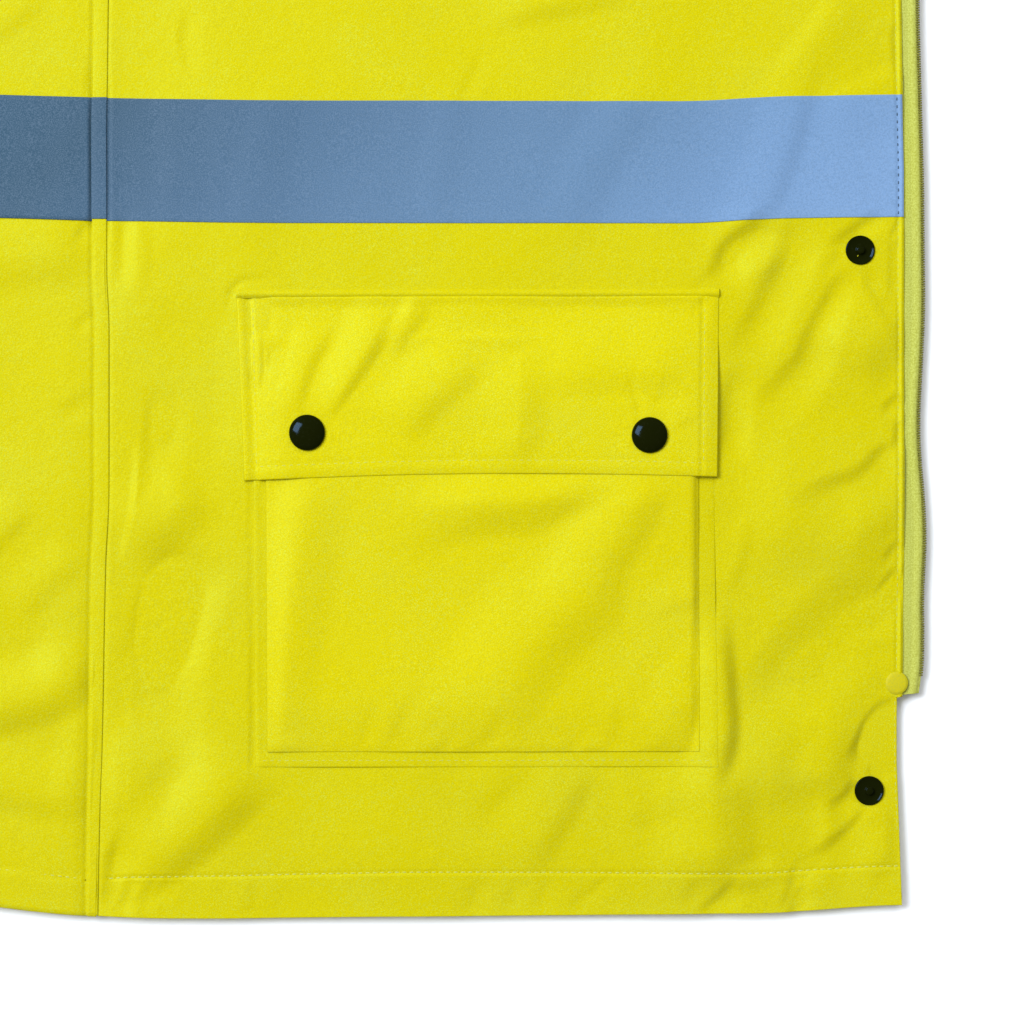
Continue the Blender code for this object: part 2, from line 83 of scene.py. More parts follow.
SIDE_SEAM = [
    # up, across
    (-12, -329.6), (2, -329.5), (26, -329.0), (43, -328.6), (60, -327.9), (84, -327.4), (110, -327.0),
    (143, -326.3), (155, -325.5), (165, -325.0), (240, -325.0), (256, -325.9), (320, -326.1), (336, -325.7),
    (370, -325.3), (596.8, -319.8), (620, -319.4),
]
SIDE_FOLD = [
    # up, across
    (-10, -384.0), (0, -384.0), (200, -381.0), (370, -376.0), (500, -362.0),
]
SEAM_LAP = [
    # up, width of the lap
    (-12, 4.0), (60, 4.6), (125, 5.2), (600, 5.2),
]
BACK_FOLD_IN = 9.0        # how far the fold down the back lies in from the front edge
LOWER_HEMS_IN = 3.0       # and the hidden hems from the hem that shows
COLLAR_TOP_FRONT = (0.0, 828.0)
COLLAR_TOP_SIDE = (-101.0, 886.0)
COLLAR_TOP_BENDS = ((-36.0, 832.0), (-60.0, 880.0))
SLEEVES = {
    # name: (cuff inner, cuff outer, inner edge bends, outer edge bends)
    "sleeve_right": ((-690, 237), (-790, 356), ((-408, 446), (-560, 340)), ((-400, 744), (-560, 562))),
    "sleeve_left": ((-697, 228), (-807, 359), ((-411, 439), (-565, 332)), ((-402, 747), (-568, 571))),
}
SLEEVE_RISE = [
    # share of the length, thickness of the lower sleeve, thickness of the upper sleeve
    (0, 2.7, 2.7), (2 / 12, 3.4, 3.8), (4 / 12, 4.1, 5.0), (8 / 12, 4.3, 5.4), (1, 4.6, 5.6),
]
SLEEVE_BANDS = {"high": (226, 276), "low": (100, 150)}
SLEEVE_EDGES = (420.0, 668.0)
BAND_LOW = [
    # across, lower edge, upper edge
    (-390, 281.2, 331.4), (-384, 281.2, 331.4), (-369, 281.0, 331.0), (-330, 279.8, 330.0),
    (-264, 278.8, 328.8), (-83, 278.7, 328.4), (-55, 280.6, 330.2), (0, 281.4, 331.3), (10, 281.4, 331.3),
]
BAND_MIDDLE = 305.0
BANDS = {
    # name: (rise over the lower band, length of tape on the back)
    "low": (0.0, 57), "high": (144.0, 48),
}

# Pocket
POCKET = [
    # outer u, outer v, face u, face v
    (-265.6, 230.0, -260.1, 230.0),
    (-264.3, 56.4, -259.3, 62.7),
    (-75.3, 56.6, -82.9, 62.9),
    (-77.6, 230.0, -83.5, 230.0),
]
# The sides of the pocket and of its face: up, across
POCKET_SIDE = [(56, -264.3), (230, -265.6)]
POCKET_FRONT = [(56.6, -75.3), (230, -77.6)]
FACE_SIDE = [(62, -259.3), (230, -260.1)]
FACE_FRONT = [(62, -82.9), (230, -83.5)]
FACE_FOOT = 62.8
FACE_LIFT = 1.2           # over the front
FACE_SWELL = 1.5          # how much higher the face is in its middle
FLAP_LIFT = 0.9           # over the front, at its seam
FLAP_RISE = 2.8           # from its seam up onto the face
# The flap's seam, from the side to the front, and the corners at the ends of its lower edge
FLAP_SEAM = [(-272.0, 248.7), (-74.9, 249.0)]
FLAP_LOW_SIDE, FLAP_LOW_FRONT = (-268.7, 173.4), (-75.7, 175.0)
FLAP_BOW = 2.0            # how far its lower edge bows up in the middle
# The flap's side edge and its front edge: up, across
FLAP_SIDE = [(173, -268.7), (249, -272.0)]
FLAP_FRONT = [(173, -75.7), (249, -74.9)]
FACE_RISE = [
    # up, distance over which the pocket's face rises from its side edge
    (62, 6.5), (110, 9.5), (180, 21.0),
]
GATHERS = 0.32            # height of the tucks at the foot of the pocket
CAPS = {"flap_cap_side": (-242.9, 193.0), "flap_cap_front": (-103.5, 192.0)}
CAP_RADIUS = 7.35
STUDS = [(-13.5, 46.8), (-17.2, 267.7), (-15.5, 488.6), (-15.5, 709.4)]
STUD_RADIUS = 6.0
RIVET = (-2.25, 90.8)
RIVET_RADIUS = 4.7

# Zip
ZIP_END = 86.0
COIL_END = 94.0
ZIP_TOP = 826.0
ZIP_EDGE = [
    # up, across: the teeth's outer edge
    (80, 7.2), (86, 7.2), (94, 8.8), (108, 9.3), (125, 9.0), (148, 10.2), (160, 9.9), (172, 9.0),
    (184, 7.9), (197, 7.4), (209, 7.9), (221, 8.6), (234, 9.2), (246, 9.6), (262, 9.4), (295, 9.1),
    (332, 8.1), (356, 7.4), (370, 7.2), (560, 8.6), (742, 8.2), (826, 8.0),
]
TOOTH_PITCH = 1.0
STEP_AT = 85.0            # where the front edge steps out over the zip's end

# Sewing
HEM_STITCH = [
    # across, up
    (-400, 15.5), (-369, 14.9), (-330, 10.2), (-316, 11.5), (-275, 12.0), (-205, 13.6), (-55, 13.1),
    (-9, 16.0), (5, 16.0),
]
STITCH = 3.0              # pitch of the stitches
EDGE_SEAM_IN = 2.6        # from the front edge in to its stitches
FLAP_SEAM_UP = 6.0        # from the flap's lower edge up to its stitches

# Grooves along seams: their reach to either side, and their depth
HEM_GROOVE = (1.3, 0.22)
EDGE_GROOVE = (1.1, 0.35)
SEAM_GROOVE = (1.3, 0.22)
TAPED_GROOVE = (0.9, 0.6)
FLAP_GROOVE = (1.2, 0.15)
GUSSET_GROOVE = (1.2, 0.5)
# Creases: their reach to the one side and to the other, and their depth
BACK_CREASE = (1.9, 1.0, 0.5)
BACK_LOW_CREASE = (5.5, 1.0, 0.5)
BACK_TAPED_CREASE = (1.7, 1.2, 0.9)
FLAP_SIDE_CREASE = (4.2, 1.4, 0.8)
FLAP_FRONT_CREASE = (1.6, 1.3, 0.3)

# Folds: a ridge where slope is more than nothing and a trough where it is less. The line of a fold runs along
# its crest or its bottom, downward or to the left. Above is how far it reaches on the line's upper or left
# side and below how far on the other one, both at the line's start; at its end they are as much wider as
# widen says. Slope is that of its steeper side. A crisp fold comes to an edge. Peak is the share of the line
# where the fold stands highest.
FRONT_FOLDS = [
    # line, above, below, widen, slope, crisp, peak
    # between the band, the pocket and the front edge
    (
        ((-50, 284), (-54.7, 279), (-61, 273.5), (-67.6, 269), (-71, 264.5), (-73, 258), (-74, 248)),
        8.5, 16, 0.8, -0.62, 0.1, 0.4,
    ),
    (((-75, 262), (-80, 256), (-87, 249)), 3, 6, 0.8, -0.2, 0.3, 0.5),
    (((-57, 287), (-59, 272), (-63, 252)), 26, 15, 1, 0.13, 0, 0.4),
    (((-41, 286), (-43, 272), (-48.5, 258), (-59.5, 235), (-69, 218)), 9, 14, 1, -0.3, 0, 0.45),
    (
        ((-19, 263), (-22, 259), (-29.5, 245), (-35, 234), (-39.5, 221.5), (-50, 209), (-60, 196)),
        4.5, 8, 2.2, -0.36, 0, 0.4,
    ),
    (((-15, 262), (-13, 255.5), (-8.2, 246), (-2, 238)), 4, 5, 1.4, -0.24, 0.1, 0.5),
    (((-5, 281.5), (-14, 278.5), (-20, 274), (-31, 266)), 3.5, 6, 1.6, -0.42, 0.1, 0.4),
    (((-23, 266), (-34, 259)), 3, 5, 1.3, -0.14, 0, 0.3),
    (((-0.5, 281), (-5, 271)), 2, 3, 1, -0.4, 0.2, 0.4),
    (((-2.4, 276), (-2.8, 262), (-2.6, 244)), 4, 2.4, 1, -0.36, 0.1, 0.5),
    (((-68, 224), (-69, 205), (-70, 178)), 6, 10, 1, -0.3, 0, 0.5),
    (((2, 240), (-12, 233), (-26, 217)), 24, 16, 1.2, 0.2, 0, 0.45),
    (((0, 208), (-9, 200)), 3.5, 10, 1, -0.42, 0.2, 0.35),
    (((-0.5, 200), (-2, 185)), 3.5, 5, 1, -0.36, 0.1, 0.6),
    (
        ((1, 186.5), (-7, 184.5), (-13, 177.5), (-20, 172), (-30, 168), (-46, 157)),
        4, 11, 2.8, -0.42, 0.1, 0.3,
    ),
    (((-66, 162), (-66, 146), (-73, 124)), 12, 5, 1, 0.18, 0.2, 0.55),
    (((6, 152), (-30, 158), (-72, 160)), 50, 30, 1, 0.14, 0, 0.5),
    (((8, 116), (-20, 117), (-34, 106), (-48, 88), (-66, 72)), 20, 26, 1, -0.17, 0, 0.5),
    (((0, 155), (-9, 150)), 3, 8, 1, -0.14, 0.1, 0.5),
    (((0, 149), (-8, 139)), 3.2, 9, 1, -0.36, 0.1, 0.45),
    (((0, 138), (-5, 132), (-11, 124)), 3.4, 11, 1, -0.46, 0.1, 0.45),
    (((4, 112), (-26, 106)), 10, 7, 1, 0.07, 0, 0.5),
    (((-26, 84), (-43, 75), (-52, 60), (-56, 36)), 20, 11, 1, 0.14, 0, 0.45),
    (((0, 84.5), (-7, 79.5), (-12, 73.5), (-14.6, 67), (-19, 54)), 4.2, 14, 1.8, -0.6, 0.1, 0.45),
    (((-20, 80), (-29, 65), (-34, 42)), 18, 13, 1, 0.18, 0, 0.55),
    (((-1.5, 60.5), (-9, 57), (-15, 51)), 3.4, 8, 1, -0.45, 0.1, 0.45),
    (((-18, 52), (-22, 44), (-32, 37)), 4, 12, 1.2, -0.5, 0.1, 0.4),
    (((-13.5, 41), (-18.5, 32.5), (-25, 26), (-40, 12)), 3.2, 12, 2.4, -0.48, 0.1, 0.3),
    (((-9, 44), (-8, 10)), 14, 7, 1, 0.18, 0, 0.5),
    (
        ((-77, 128), (-75.5, 106), (-74.4, 94), (-73.8, 82), (-73.4, 73), (-75, 62), (-82, 46)),
        16, 7.5, 1.1, 0.75, 0, 0.6,
    ),
    (((-78, 64), (-77.5, 40), (-76, 0)), 28, 20, 1, 0.3, 0.2, 0.45),
    (((-40, 54), (-39, 4)), 28, 10, 1, -0.2, 0, 0.5),
    # under the pocket and along the hem
    (((-128, 62), (-137, 48), (-142, 38), (-149, 27), (-159, 9)), 22, 11, 1, 0.2, 0, 0.45),
    (((-148, 62), (-166, 51), (-182, 36)), 18, 10, 1, 0.08, 0, 0.45),
    (((-86, 50), (-120, 36)), 20, 12, 1, 0.08, 0, 0.5),
    (((-67, 12), (-73, 4), (-85, -6)), 3.4, 10, 1, -0.42, 0.2, 0.4),
    (((-44, 17), (-72, 8)), 8, 7, 1, 0.15, 0, 0.5),
    (((-41, 21), (-44, 8), (-49, -5)), 4, 9, 1, -0.3, 0.1, 0.5),
    (((-39, 9), (-46, -7)), 3, 9, 1, -0.48, 0.1, 0.6),
    (((-81, 13), (-90, -2)), 4, 6, 1, -0.12, 0, 0.5),
    (((-116, 14), (-126, 6), (-138, -4)), 3.5, 6, 1, -0.17, 0.2, 0.5),
    (((-143, 13), (-150, -5)), 4, 7, 1, -0.11, 0, 0.5),
    (((-155, 13), (-163, -5)), 4, 7, 1, -0.11, 0, 0.5),
    (((-170, 13), (-179, -6)), 5, 8, 1, -0.13, 0, 0.5),
    (((-266, 14), (-271, -4)), 8, 5, 1, 0.08, 0, 0.5),
    (((-254, 13), (-261, -3)), 8, 5, 1, 0.07, 0, 0.5),
    (((-297, 13), (-306, -1)), 4, 6, 1, -0.12, 0, 0.4),
    (((-303, 13), (-314, -5)), 4.5, 7, 1, -0.2, 0, 0.4),
    (((-312.5, 14), (-316, 3), (-321, -6)), 4.5, 6, 1, -0.24, 0, 0.4),
    # between the side seam and the pocket
    (((-318, 284), (-320, 246)), 4.5, 6, 1, -0.2, 0, 0.35),
    (((-312, 284), (-312, 244)), 7, 7, 1, 0.11, 0.1, 0.4),
    (((-302, 288), (-300, 230)), 20, 30, 1, 0.05, 0, 0.45),
    (((-304, 216), (-305, 190), (-309, 158)), 7, 14, 1, -0.2, 0, 0.5),
    (((-315, 190), (-315.5, 172), (-318, 155), (-322, 138)), 9, 3.2, 1, -0.36, 0.1, 0.5),
    (((-300, 152), (-302, 100), (-304, 34)), 27, 20, 1, -0.1, 0, 0.5),
    (((-284, 174), (-303, 159), (-324, 144)), 30, 17, 1, 0.17, 0, 0.45),
    (((-284, 150), (-297, 122), (-306, 90)), 18, 20, 1, -0.17, 0, 0.5),
    (((-315, 158), (-314.6, 100), (-315.5, 20)), 60, 18, 1, 0.08, 0.7, 0.6),
    (((-290, 72), (-310, 55), (-318, 28)), 24, 15, 1, 0.16, 0, 0.5),
    (((-264, 252), (-264, 210), (-266, 162)), 18, 12, 1, 0.14, 0, 0.5),
    (((-255, 254.5), (-268, 255.5), (-274, 251), (-276.5, 240)), 2, 3, 1, -0.4, 0.2, 0.5),
    (((-316, 34), (-322, 18), (-325, 6), (-327.5, -6)), 6, 13, 1, -0.42, 0.1, 0.6),
    (((-262, 62), (-284, 38), (-298, 25), (-317, 9)), 28, 18, 0.8, 0.31, 0, 0.5),
    # above the band
    (((-290, 370), (-293, 354), (-290, 338)), 4, 8, 1, -0.15, 0.1, 0.5),
    (((-170, 352), (-176, 338), (-182, 322)), 3, 6, 1, -0.16, 0.2, 0.5),
    (((-104, 378), (-138, 371), (-174, 362)), 20, 11, 0.8, 0.18, 0, 0.5),
    (((-20, 376), (-35, 355), (-53, 330)), 9, 16, 0.9, 0.14, 0, 0.45),
    (((-3, 362), (-2.5, 350), (-1.5, 335)), 3, 4, 1, -0.28, 0.1, 0.4),
    # above the view
    (((-200, 392), (-250, 380)), 20, 14, 1, 0.12, 0, 0.5),
    (((-36, 396), (-84, 384)), 20, 14, 1, 0.15, 0, 0.5),
    (((-216, 600), (-288, 566)), 36, 22, 1, 0.16, 0, 0.5),
    (((-206, 648), (-284, 640)), 32, 20, 1, 0.15, 0, 0.5),
    (((-60, 706), (-130, 560)), 40, 24, 1, 0.13, 0, 0.5),
    (((-180, 720), (-236, 560)), 40, 22, 1, 0.11, 0, 0.5),
    (((-60, 700), (-120, 640), (-150, 560)), 8, 16, 2, -0.18, 0.2, 0.5),
    (((-200, 612), (-250, 618), (-300, 600)), 12, 20, 0.7, -0.2, 0.3, 0.5),
    (((-40, 690), (-70, 650), (-80, 600)), 10, 18, 1, -0.16, 0.2, 0.5),
    (((-4, 470), (-50, 440), (-60, 400)), 5, 10, 2.5, -0.18, 0.2, 0.4),
]
BAND_FOLDS = [
    # line, above, below, widen, slope, crisp, peak
    (((-36, 350), (-43, 330), (-50, 305), (-60, 279), (-66, 262)), 18, 9, 1, 0.19, 0, 0.5),
    (((8, 340), (-14, 332), (-36, 320)), 9, 20, 1, 0.12, 0, 0.5),
    (((-105, 345), (-118, 318), (-130, 296), (-140, 262)), 16, 14, 1, 0.09, 0, 0.45),
    (((-182, 345), (-188, 310), (-196, 262)), 10, 12, 1, 0.06, 0, 0.5),
    (((-300, 345), (-298, 305), (-300, 262)), 9, 14, 1, 0.06, 0, 0.5),
    (((-252, 345), (-262, 305), (-268, 262)), 12, 14, 1, 0.05, 0, 0.5),
]
BACK_FOLDS = [
    # line, above, below, widen, slope, crisp, peak
    (((-350, 376), (-366, 363), (-384, 350)), 16, 9, 1, 0.1, 0, 0.5),
    (((-330.5, 347), (-333, 328)), 3, 5, 1, -0.2, 0.1, 0.6),
    (((-329, 283), (-339, 270)), 3, 6, 1, -0.32, 0.1, 0.4),
    (((-328, 268), (-355, 266), (-388, 262)), 30, 16, 1, 0.13, 0, 0.5),
    (((-328, 243), (-340, 235)), 3, 5, 1, -0.2, 0.2, 0.45),
    (((-328, 209), (-347, 198)), 5, 8, 1, -0.12, 0, 0.4),
    (((-354, 164), (-366, 156), (-382, 138)), 14, 8, 1, 0.17, 0, 0.5),
    (((-334, 146), (-350, 133), (-364, 116)), 14, 9, 1, 0.13, 0, 0.45),
    (((-330, 112), (-340, 96), (-352, 86), (-390, 78)), 20, 15, 1, 0.28, 0, 0.5),
    (((-330, 100), (-334, 60), (-338, 20)), 14, 9, 1, 0.16, 0, 0.5),
    (((-328, 44), (-352, 46), (-388, 54)), 20, 12, 1, 0.2, 0, 0.5),
    (((-328, 470), (-345, 440), (-370, 420)), 10, 16, 1.2, -0.18, 0.1, 0.5),
    (((-325, 540), (-345, 500), (-365, 470)), 16, 10, 1.2, 0.15, 0.1, 0.5),
]
FACE_FOLDS = [
    # line, above, below, widen, slope, crisp, peak
    (((-245, 196), (-247, 150), (-251, 120), (-253, 100), (-254, 62)), 16, 24, 0.7, 0.16, 0, 0.5),
    (((-112, 187), (-138, 174), (-154, 168), (-178, 166), (-214, 155)), 24, 16, 1.3, 0.26, 0, 0.35),
    (((-101, 188), (-111, 163), (-119, 150), (-126, 138), (-133, 98)), 18, 13, 1.5, 0.2, 0, 0.4),
    (((-122, 138), (-145, 116), (-158, 100), (-168, 84), (-180, 60)), 30, 22, 1, 0.14, 0, 0.45),
    (((-78, 130), (-106, 120)), 12, 7, 1, 0.1, 0, 0.45),
    (((-80, 112), (-93, 90)), 9, 5, 1, 0.1, 0, 0.5),
    (((-80, 100), (-90, 84), (-98, 60)), 16, 12, 1, 0.12, 0, 0.6),
    (((-215, 86), (-221, 62)), 3, 6, 1.2, -0.15, 0, 0.6),
    (((-199, 88), (-208, 62)), 5, 8, 1, -0.12, 0, 0.6),
    (((-162, 82), (-170, 62)), 5, 8, 1, -0.1, 0, 0.6),
    (((-113, 84), (-119, 62)), 5, 8, 1, -0.1, 0, 0.6),
]
FLAP_FOLDS = [
    # line, above, below, widen, slope, crisp, peak
    (((-207, 249), (-216, 232), (-226, 215), (-238, 196)), 20, 8.5, 0.45, 0.42, 0.1, 0.5),
    (((-234, 240), (-243, 223), (-248, 206), (-249, 196)), 14, 7, 0.6, 0.26, 0, 0.5),
    (((-196, 250), (-203, 238), (-212, 224)), 7, 8, 0.8, 0.26, 0, 0.45),
    (((-170, 228), (-192, 210), (-210, 190)), 20, 12, 1, 0.19, 0, 0.5),
    (((-156, 232), (-156, 205), (-157, 192), (-162, 176)), 22, 14, 0.8, 0.18, 0.4, 0.6),
    (((-78, 217), (-110, 221), (-158, 219)), 26, 14, 1, 0.16, 0, 0.45),
    (((-113, 220), (-109, 207), (-106.5, 197)), 3, 4, 0.9, -0.17, 0.1, 0.6),
    (((-94, 218), (-101, 201)), 4, 10, 0.8, -0.1, 0, 0.5),
    (((-109.5, 191.5), (-121, 180)), 3, 9, 1, -0.26, 0.1, 0.4),
    (((-82, 202), (-98, 195)), 9, 4, 0.8, 0.12, 0.1, 0.5),
]
SLEEVE_FOLDS = [
    # line, above, below, widen, slope, crisp, peak
    (((-360, 530), (-400, 520), (-440, 500)), 8, 14, 1.6, -0.2, 0.2, 0.4),
    (((-350, 560), (-400, 570), (-450, 560)), 22, 14, 1.2, 0.18, 0, 0.4),
    (((-345, 590), (-390, 610), (-430, 620)), 8, 14, 1.5, -0.2, 0.2, 0.4),
    (((-430, 600), (-480, 570), (-510, 520)), 12, 20, 1, -0.16, 0.2, 0.5),
    (((-470, 425), (-510, 450), (-545, 500)), 13, 20, 1, 0.2, 0, 0.5),
    (((-500, 410), (-530, 440), (-560, 490)), 9, 15, 1, -0.2, 0.3, 0.5),
    (((-560, 360), (-590, 400), (-600, 440)), 12, 18, 1, -0.14, 0.1, 0.5),
    (((-600, 470), (-630, 420), (-640, 370)), 20, 12, 1, 0.14, 0, 0.5),
    (((-650, 290), (-690, 320), (-720, 360)), 10, 16, 1, -0.14, 0.2, 0.5),
    (((-330, 650), (-400, 680), (-460, 660)), 28, 16, 1, 0.14, 0, 0.5),
]

ROUND_SLOPE, CRISP_SLOPE = 1.54, 2.0    # steepest slope of a fold whose height and reach are 1
FADE = 0.68               # share of the way to its highest place over which it swells
DRIFT = 0.28              # height of the slow waves
CLOSENESS = 0.6           # how much closer grid lines are at the edges of the front than in its middle


def read(table, at, index=1, spread=0.0):
    """A table's value at a place, straight between its rows, or averaged over a spread to both sides."""
    across = np.array([row[0] for row in table], float)
    values = np.array([row[index] for row in table], float)
    shifts = np.linspace(-spread, spread, 7 if spread else 1)
    return np.mean([np.interp(np.asarray(at) + shift, across, values) for shift in shifts], axis=0)


def line(start, end, steps):
    """Numbers or points in even steps, one more of them than there are steps."""
    return np.linspace(start, end, steps + 1)


def bezier(start, bends, end, steps):
    """Points along a cubic curve from start to end."""
    t = np.linspace(0.0, 1.0, steps + 1)[:, None]
    p = np.array([start, *bends, end], float)
    return (1 - t) ** 3 * p[0] + 3 * (1 - t) ** 2 * t * p[1] + 3 * (1 - t) * t**2 * p[2] + t**3 * p[3]


def through(points, steps=8):
    """A smooth line through points: a cubic between two of them, its slopes those of their neighbours."""
    p = np.array(points, float)
    p = np.concatenate([[2 * p[0] - p[1]], p, [2 * p[-1] - p[-2]]])
    t = np.linspace(0.0, 1.0, steps, endpoint=False)[:, None]
    spans = [
        b + 0.5 * t * (c - a + t * (2 * a - 5 * b + 4 * c - d + t * (3 * (b - c) + d - a)))
        for a, b, c, d in zip(p[:-3], p[1:-2], p[2:-1], p[3:])
    ]
    return np.concatenate([*spans, p[-2:-1]])


def resampled(path, shares):
    """Points of a line at shares of its length."""
    run = np.concatenate([[0.0], np.cumsum(np.linalg.norm(np.diff(path, axis=0), axis=1))])
    return np.stack([np.interp(shares * run[-1], run, path[:, k]) for k in (0, 1)], axis=-1)


def close_at_ends(steps):
    """Shares from 0 to 1 that are close together at both ends."""
    x = line(0, 1, steps)
    return x - CLOSENESS * np.sin(2 * math.pi * x) / (2 * math.pi)


def patch(low, high, left, right, shares=None):
    """A grid of plan points between four edges that meet at their ends: [along low][along left].

    Each point is the sum of what the two pairs of edges give, less what the four corners alone give. Shares
    says how far up each row lies.
    """
    a = np.linspace(0.0, 1.0, len(low))[:, None, None]
    b = (np.linspace(0.0, 1.0, len(left)) if shares is None else shares)[None, :, None]
    across = (1 - b) * low[:, None] + b * high[:, None]
    along = (1 - a) * left[None] + a * right[None]
    corners = (1 - a) * ((1 - b) * low[0] + b * high[0]) + a * ((1 - b) * low[-1] + b * high[-1])
    return across + along - corners


def unit(vectors):
    """Vectors brought to a length of 1."""
    return vectors / np.maximum(np.linalg.norm(vectors, axis=-1, keepdims=True), 1e-9)


def outward(loop):
    """Unit normals of a closed counterclockwise outline, each the mean of those of its two sides."""
    edges = unit(np.roll(loop, -1, axis=0) - loop)
    normals = np.stack([edges[:, 1], -edges[:, 0]], axis=1)
    middle = unit(normals + np.roll(normals, 1, axis=0))
    return middle / np.maximum((middle * normals).sum(axis=1), 0.5)[:, None]


def raised(plan, z):
    """Plan points with a height added."""
    return np.concatenate([plan, np.broadcast_to(z, plan.shape[:-1])[..., None]], axis=-1)


def smooth(x):
    """0 below 0, 1 above 1, and 3x² − 2x³ between."""
    x = np.clip(x, 0.0, 1.0)
    return x * x * (3 - 2 * x)


def nearest(plan, path):
    """Distance to a line, positive on its left, and the share of the line's length at the nearest point."""
    start, run = path[:-1], np.diff(path, axis=0)
    length = np.linalg.norm(run, axis=1)
    away = plan[:, None] - start
    t = np.clip((away * run).sum(-1) / length**2, 0, 1)
    gap = away - t[..., None] * run
    distance = np.linalg.norm(gap, axis=-1)
    k = distance.argmin(axis=1)
    rows = np.arange(len(plan))
    side = run[k, 0] * gap[rows, k, 1] - run[k, 1] * gap[rows, k, 0]
    before = np.concatenate([[0.0], np.cumsum(length)])
    share = (before[k] + t[rows, k] * length[k]) / before[-1]
    return distance[rows, k] * np.where(side < 0, -1.0, 1.0), share


def folds(plan, rows):
    """The sum of the folds in a table.

    Across its line a fold is (1 − x²)², or (1 − x)² where it is crisp, x being the distance over the reach.
    Its height is what gives its steeper side the slope in the table. Along its line it swells from nothing at
    one end and sinks to nothing at the other.
    """
    flat = plan.reshape(-1, 2)
    total = np.zeros(len(flat))
    for points, above, below, widen, slope, crisp, peak in rows:
        path = through(points)
        widest = max(above, below) * max(widen, 1)
        close = np.all((flat > path.min(axis=0) - widest) & (flat < path.max(axis=0) + widest), axis=1)
        if not close.any():
            continue
        distance, share = nearest(flat[close], path)
        growth = 1 + (widen - 1) * share
        x = np.clip(np.abs(distance) / (growth * np.where(distance > 0, below, above)), 0, 1)
        cut = (1 - crisp) * (1 - x**2) ** 2 + crisp * (1 - x) ** 2
        height = slope * growth * min(above, below) / (ROUND_SLOPE + (CRISP_SLOPE - ROUND_SLOPE) * crisp)
        swell = smooth(share / (FADE * peak)) * smooth((1 - share) / (FADE * (1 - peak)))
        total[close] += height * cut * swell
    return total.reshape(plan.shape[:-1])


def drift(plan):
    """Slow waves all over the cloth, in four directions, each bent by another."""
    u, v = plan[..., 0], plan[..., 1]
    bend = 9 * np.sin(u / 31 + v / 47) + 6 * np.sin(v / 19 - u / 53)
    waves = np.sin((u + 1.3 * v + bend) / 17) + 0.8 * np.sin((1.2 * u - 0.7 * v + bend) / 23)
    waves = waves + 0.9 * np.sin((0.3 * u + v - bend) / 13) * np.sin(u / 41)
    return DRIFT * (waves + 0.5 * np.sin((u - bend) / 9))


def groove(distance, width, depth):
    """A trough along a line, (1 − x²)² deep."""
    return -depth * (1 - np.clip(distance / width, -1, 1) ** 2) ** 2


def crease(distance, before, after, depth):
    """A trough along a line that reaches farther on one side than on the other."""
    return groove(distance / np.where(distance < 0, before, after), 1.0, depth)


# Plan lines


def beside(path, away):
    """A line moved to its left."""
    along = unit(np.gradient(path, axis=0))
    return path + away * np.stack([-along[:, 1], along[:, 0]], axis=1)


def armhole(steps=56):
    """The armhole's seam, a cubic curve from the armpit to the shoulder."""
    return bezier(ARMPIT, ARMHOLE_BENDS, SHOULDER, steps)


def neckline(steps=28):
    """The collar's seam, a cubic curve from the front of the neck to its side."""
    return bezier(NECK_FRONT, NECKLINE_BENDS, NECK_SIDE, steps)


def collar_top(steps=28):
    """The fold at the collar's top, a cubic curve from its front corner to its side."""
    return bezier(COLLAR_TOP_FRONT, COLLAR_TOP_BENDS, COLLAR_TOP_SIDE, steps)


def seam_at(heights):
    """How far across the side seam lies, averaged over 5 mm up and down."""
    return read(SIDE_SEAM, heights, spread=5)


def lap_at(heights):
    """The line along which the lap of the side seam ends on the back."""
    return seam_at(heights) - read(SEAM_LAP, heights)


def hem_at(across):
    """How high the hem's edge lies, averaged over 9 mm to both sides."""
    return read(HEM, across, spread=9)


def edge_at(heights):
    """How far across the front edge lies, straight between the table's rows."""
    return read(FRONT_EDGE, heights)


def side_fold_at(heights):
    """How far across the side fold lies, averaged over 15 mm up and down."""
    return read(SIDE_FOLD, heights, spread=15)


def hem_stitch_at(across):
    """How high the hem's stitches lie, averaged over 6 mm to both sides."""
    return read(HEM_STITCH, across, spread=6)


def zip_edge_at(heights):
    """How far across the outer edge of the teeth lies, averaged over 6 mm up and down."""
    return read(ZIP_EDGE, heights, spread=6)


# Heights of the cloth


def hem_relief(plan):
    """The turned-up hem: a step below its stitches, and a groove along them."""
    stitch = plan[..., 1] - hem_stitch_at(plan[..., 0])
    return 0.2 * smooth(-stitch / 1.2) + groove(stitch, *HEM_GROOVE)


def taped(v):
    """1 where a band crosses the side seam, and 0 from just past its edges on."""
    return sum(smooth(1.5 - np.abs(v - BAND_MIDDLE - rise) / 26) for rise, _ in BANDS.values())


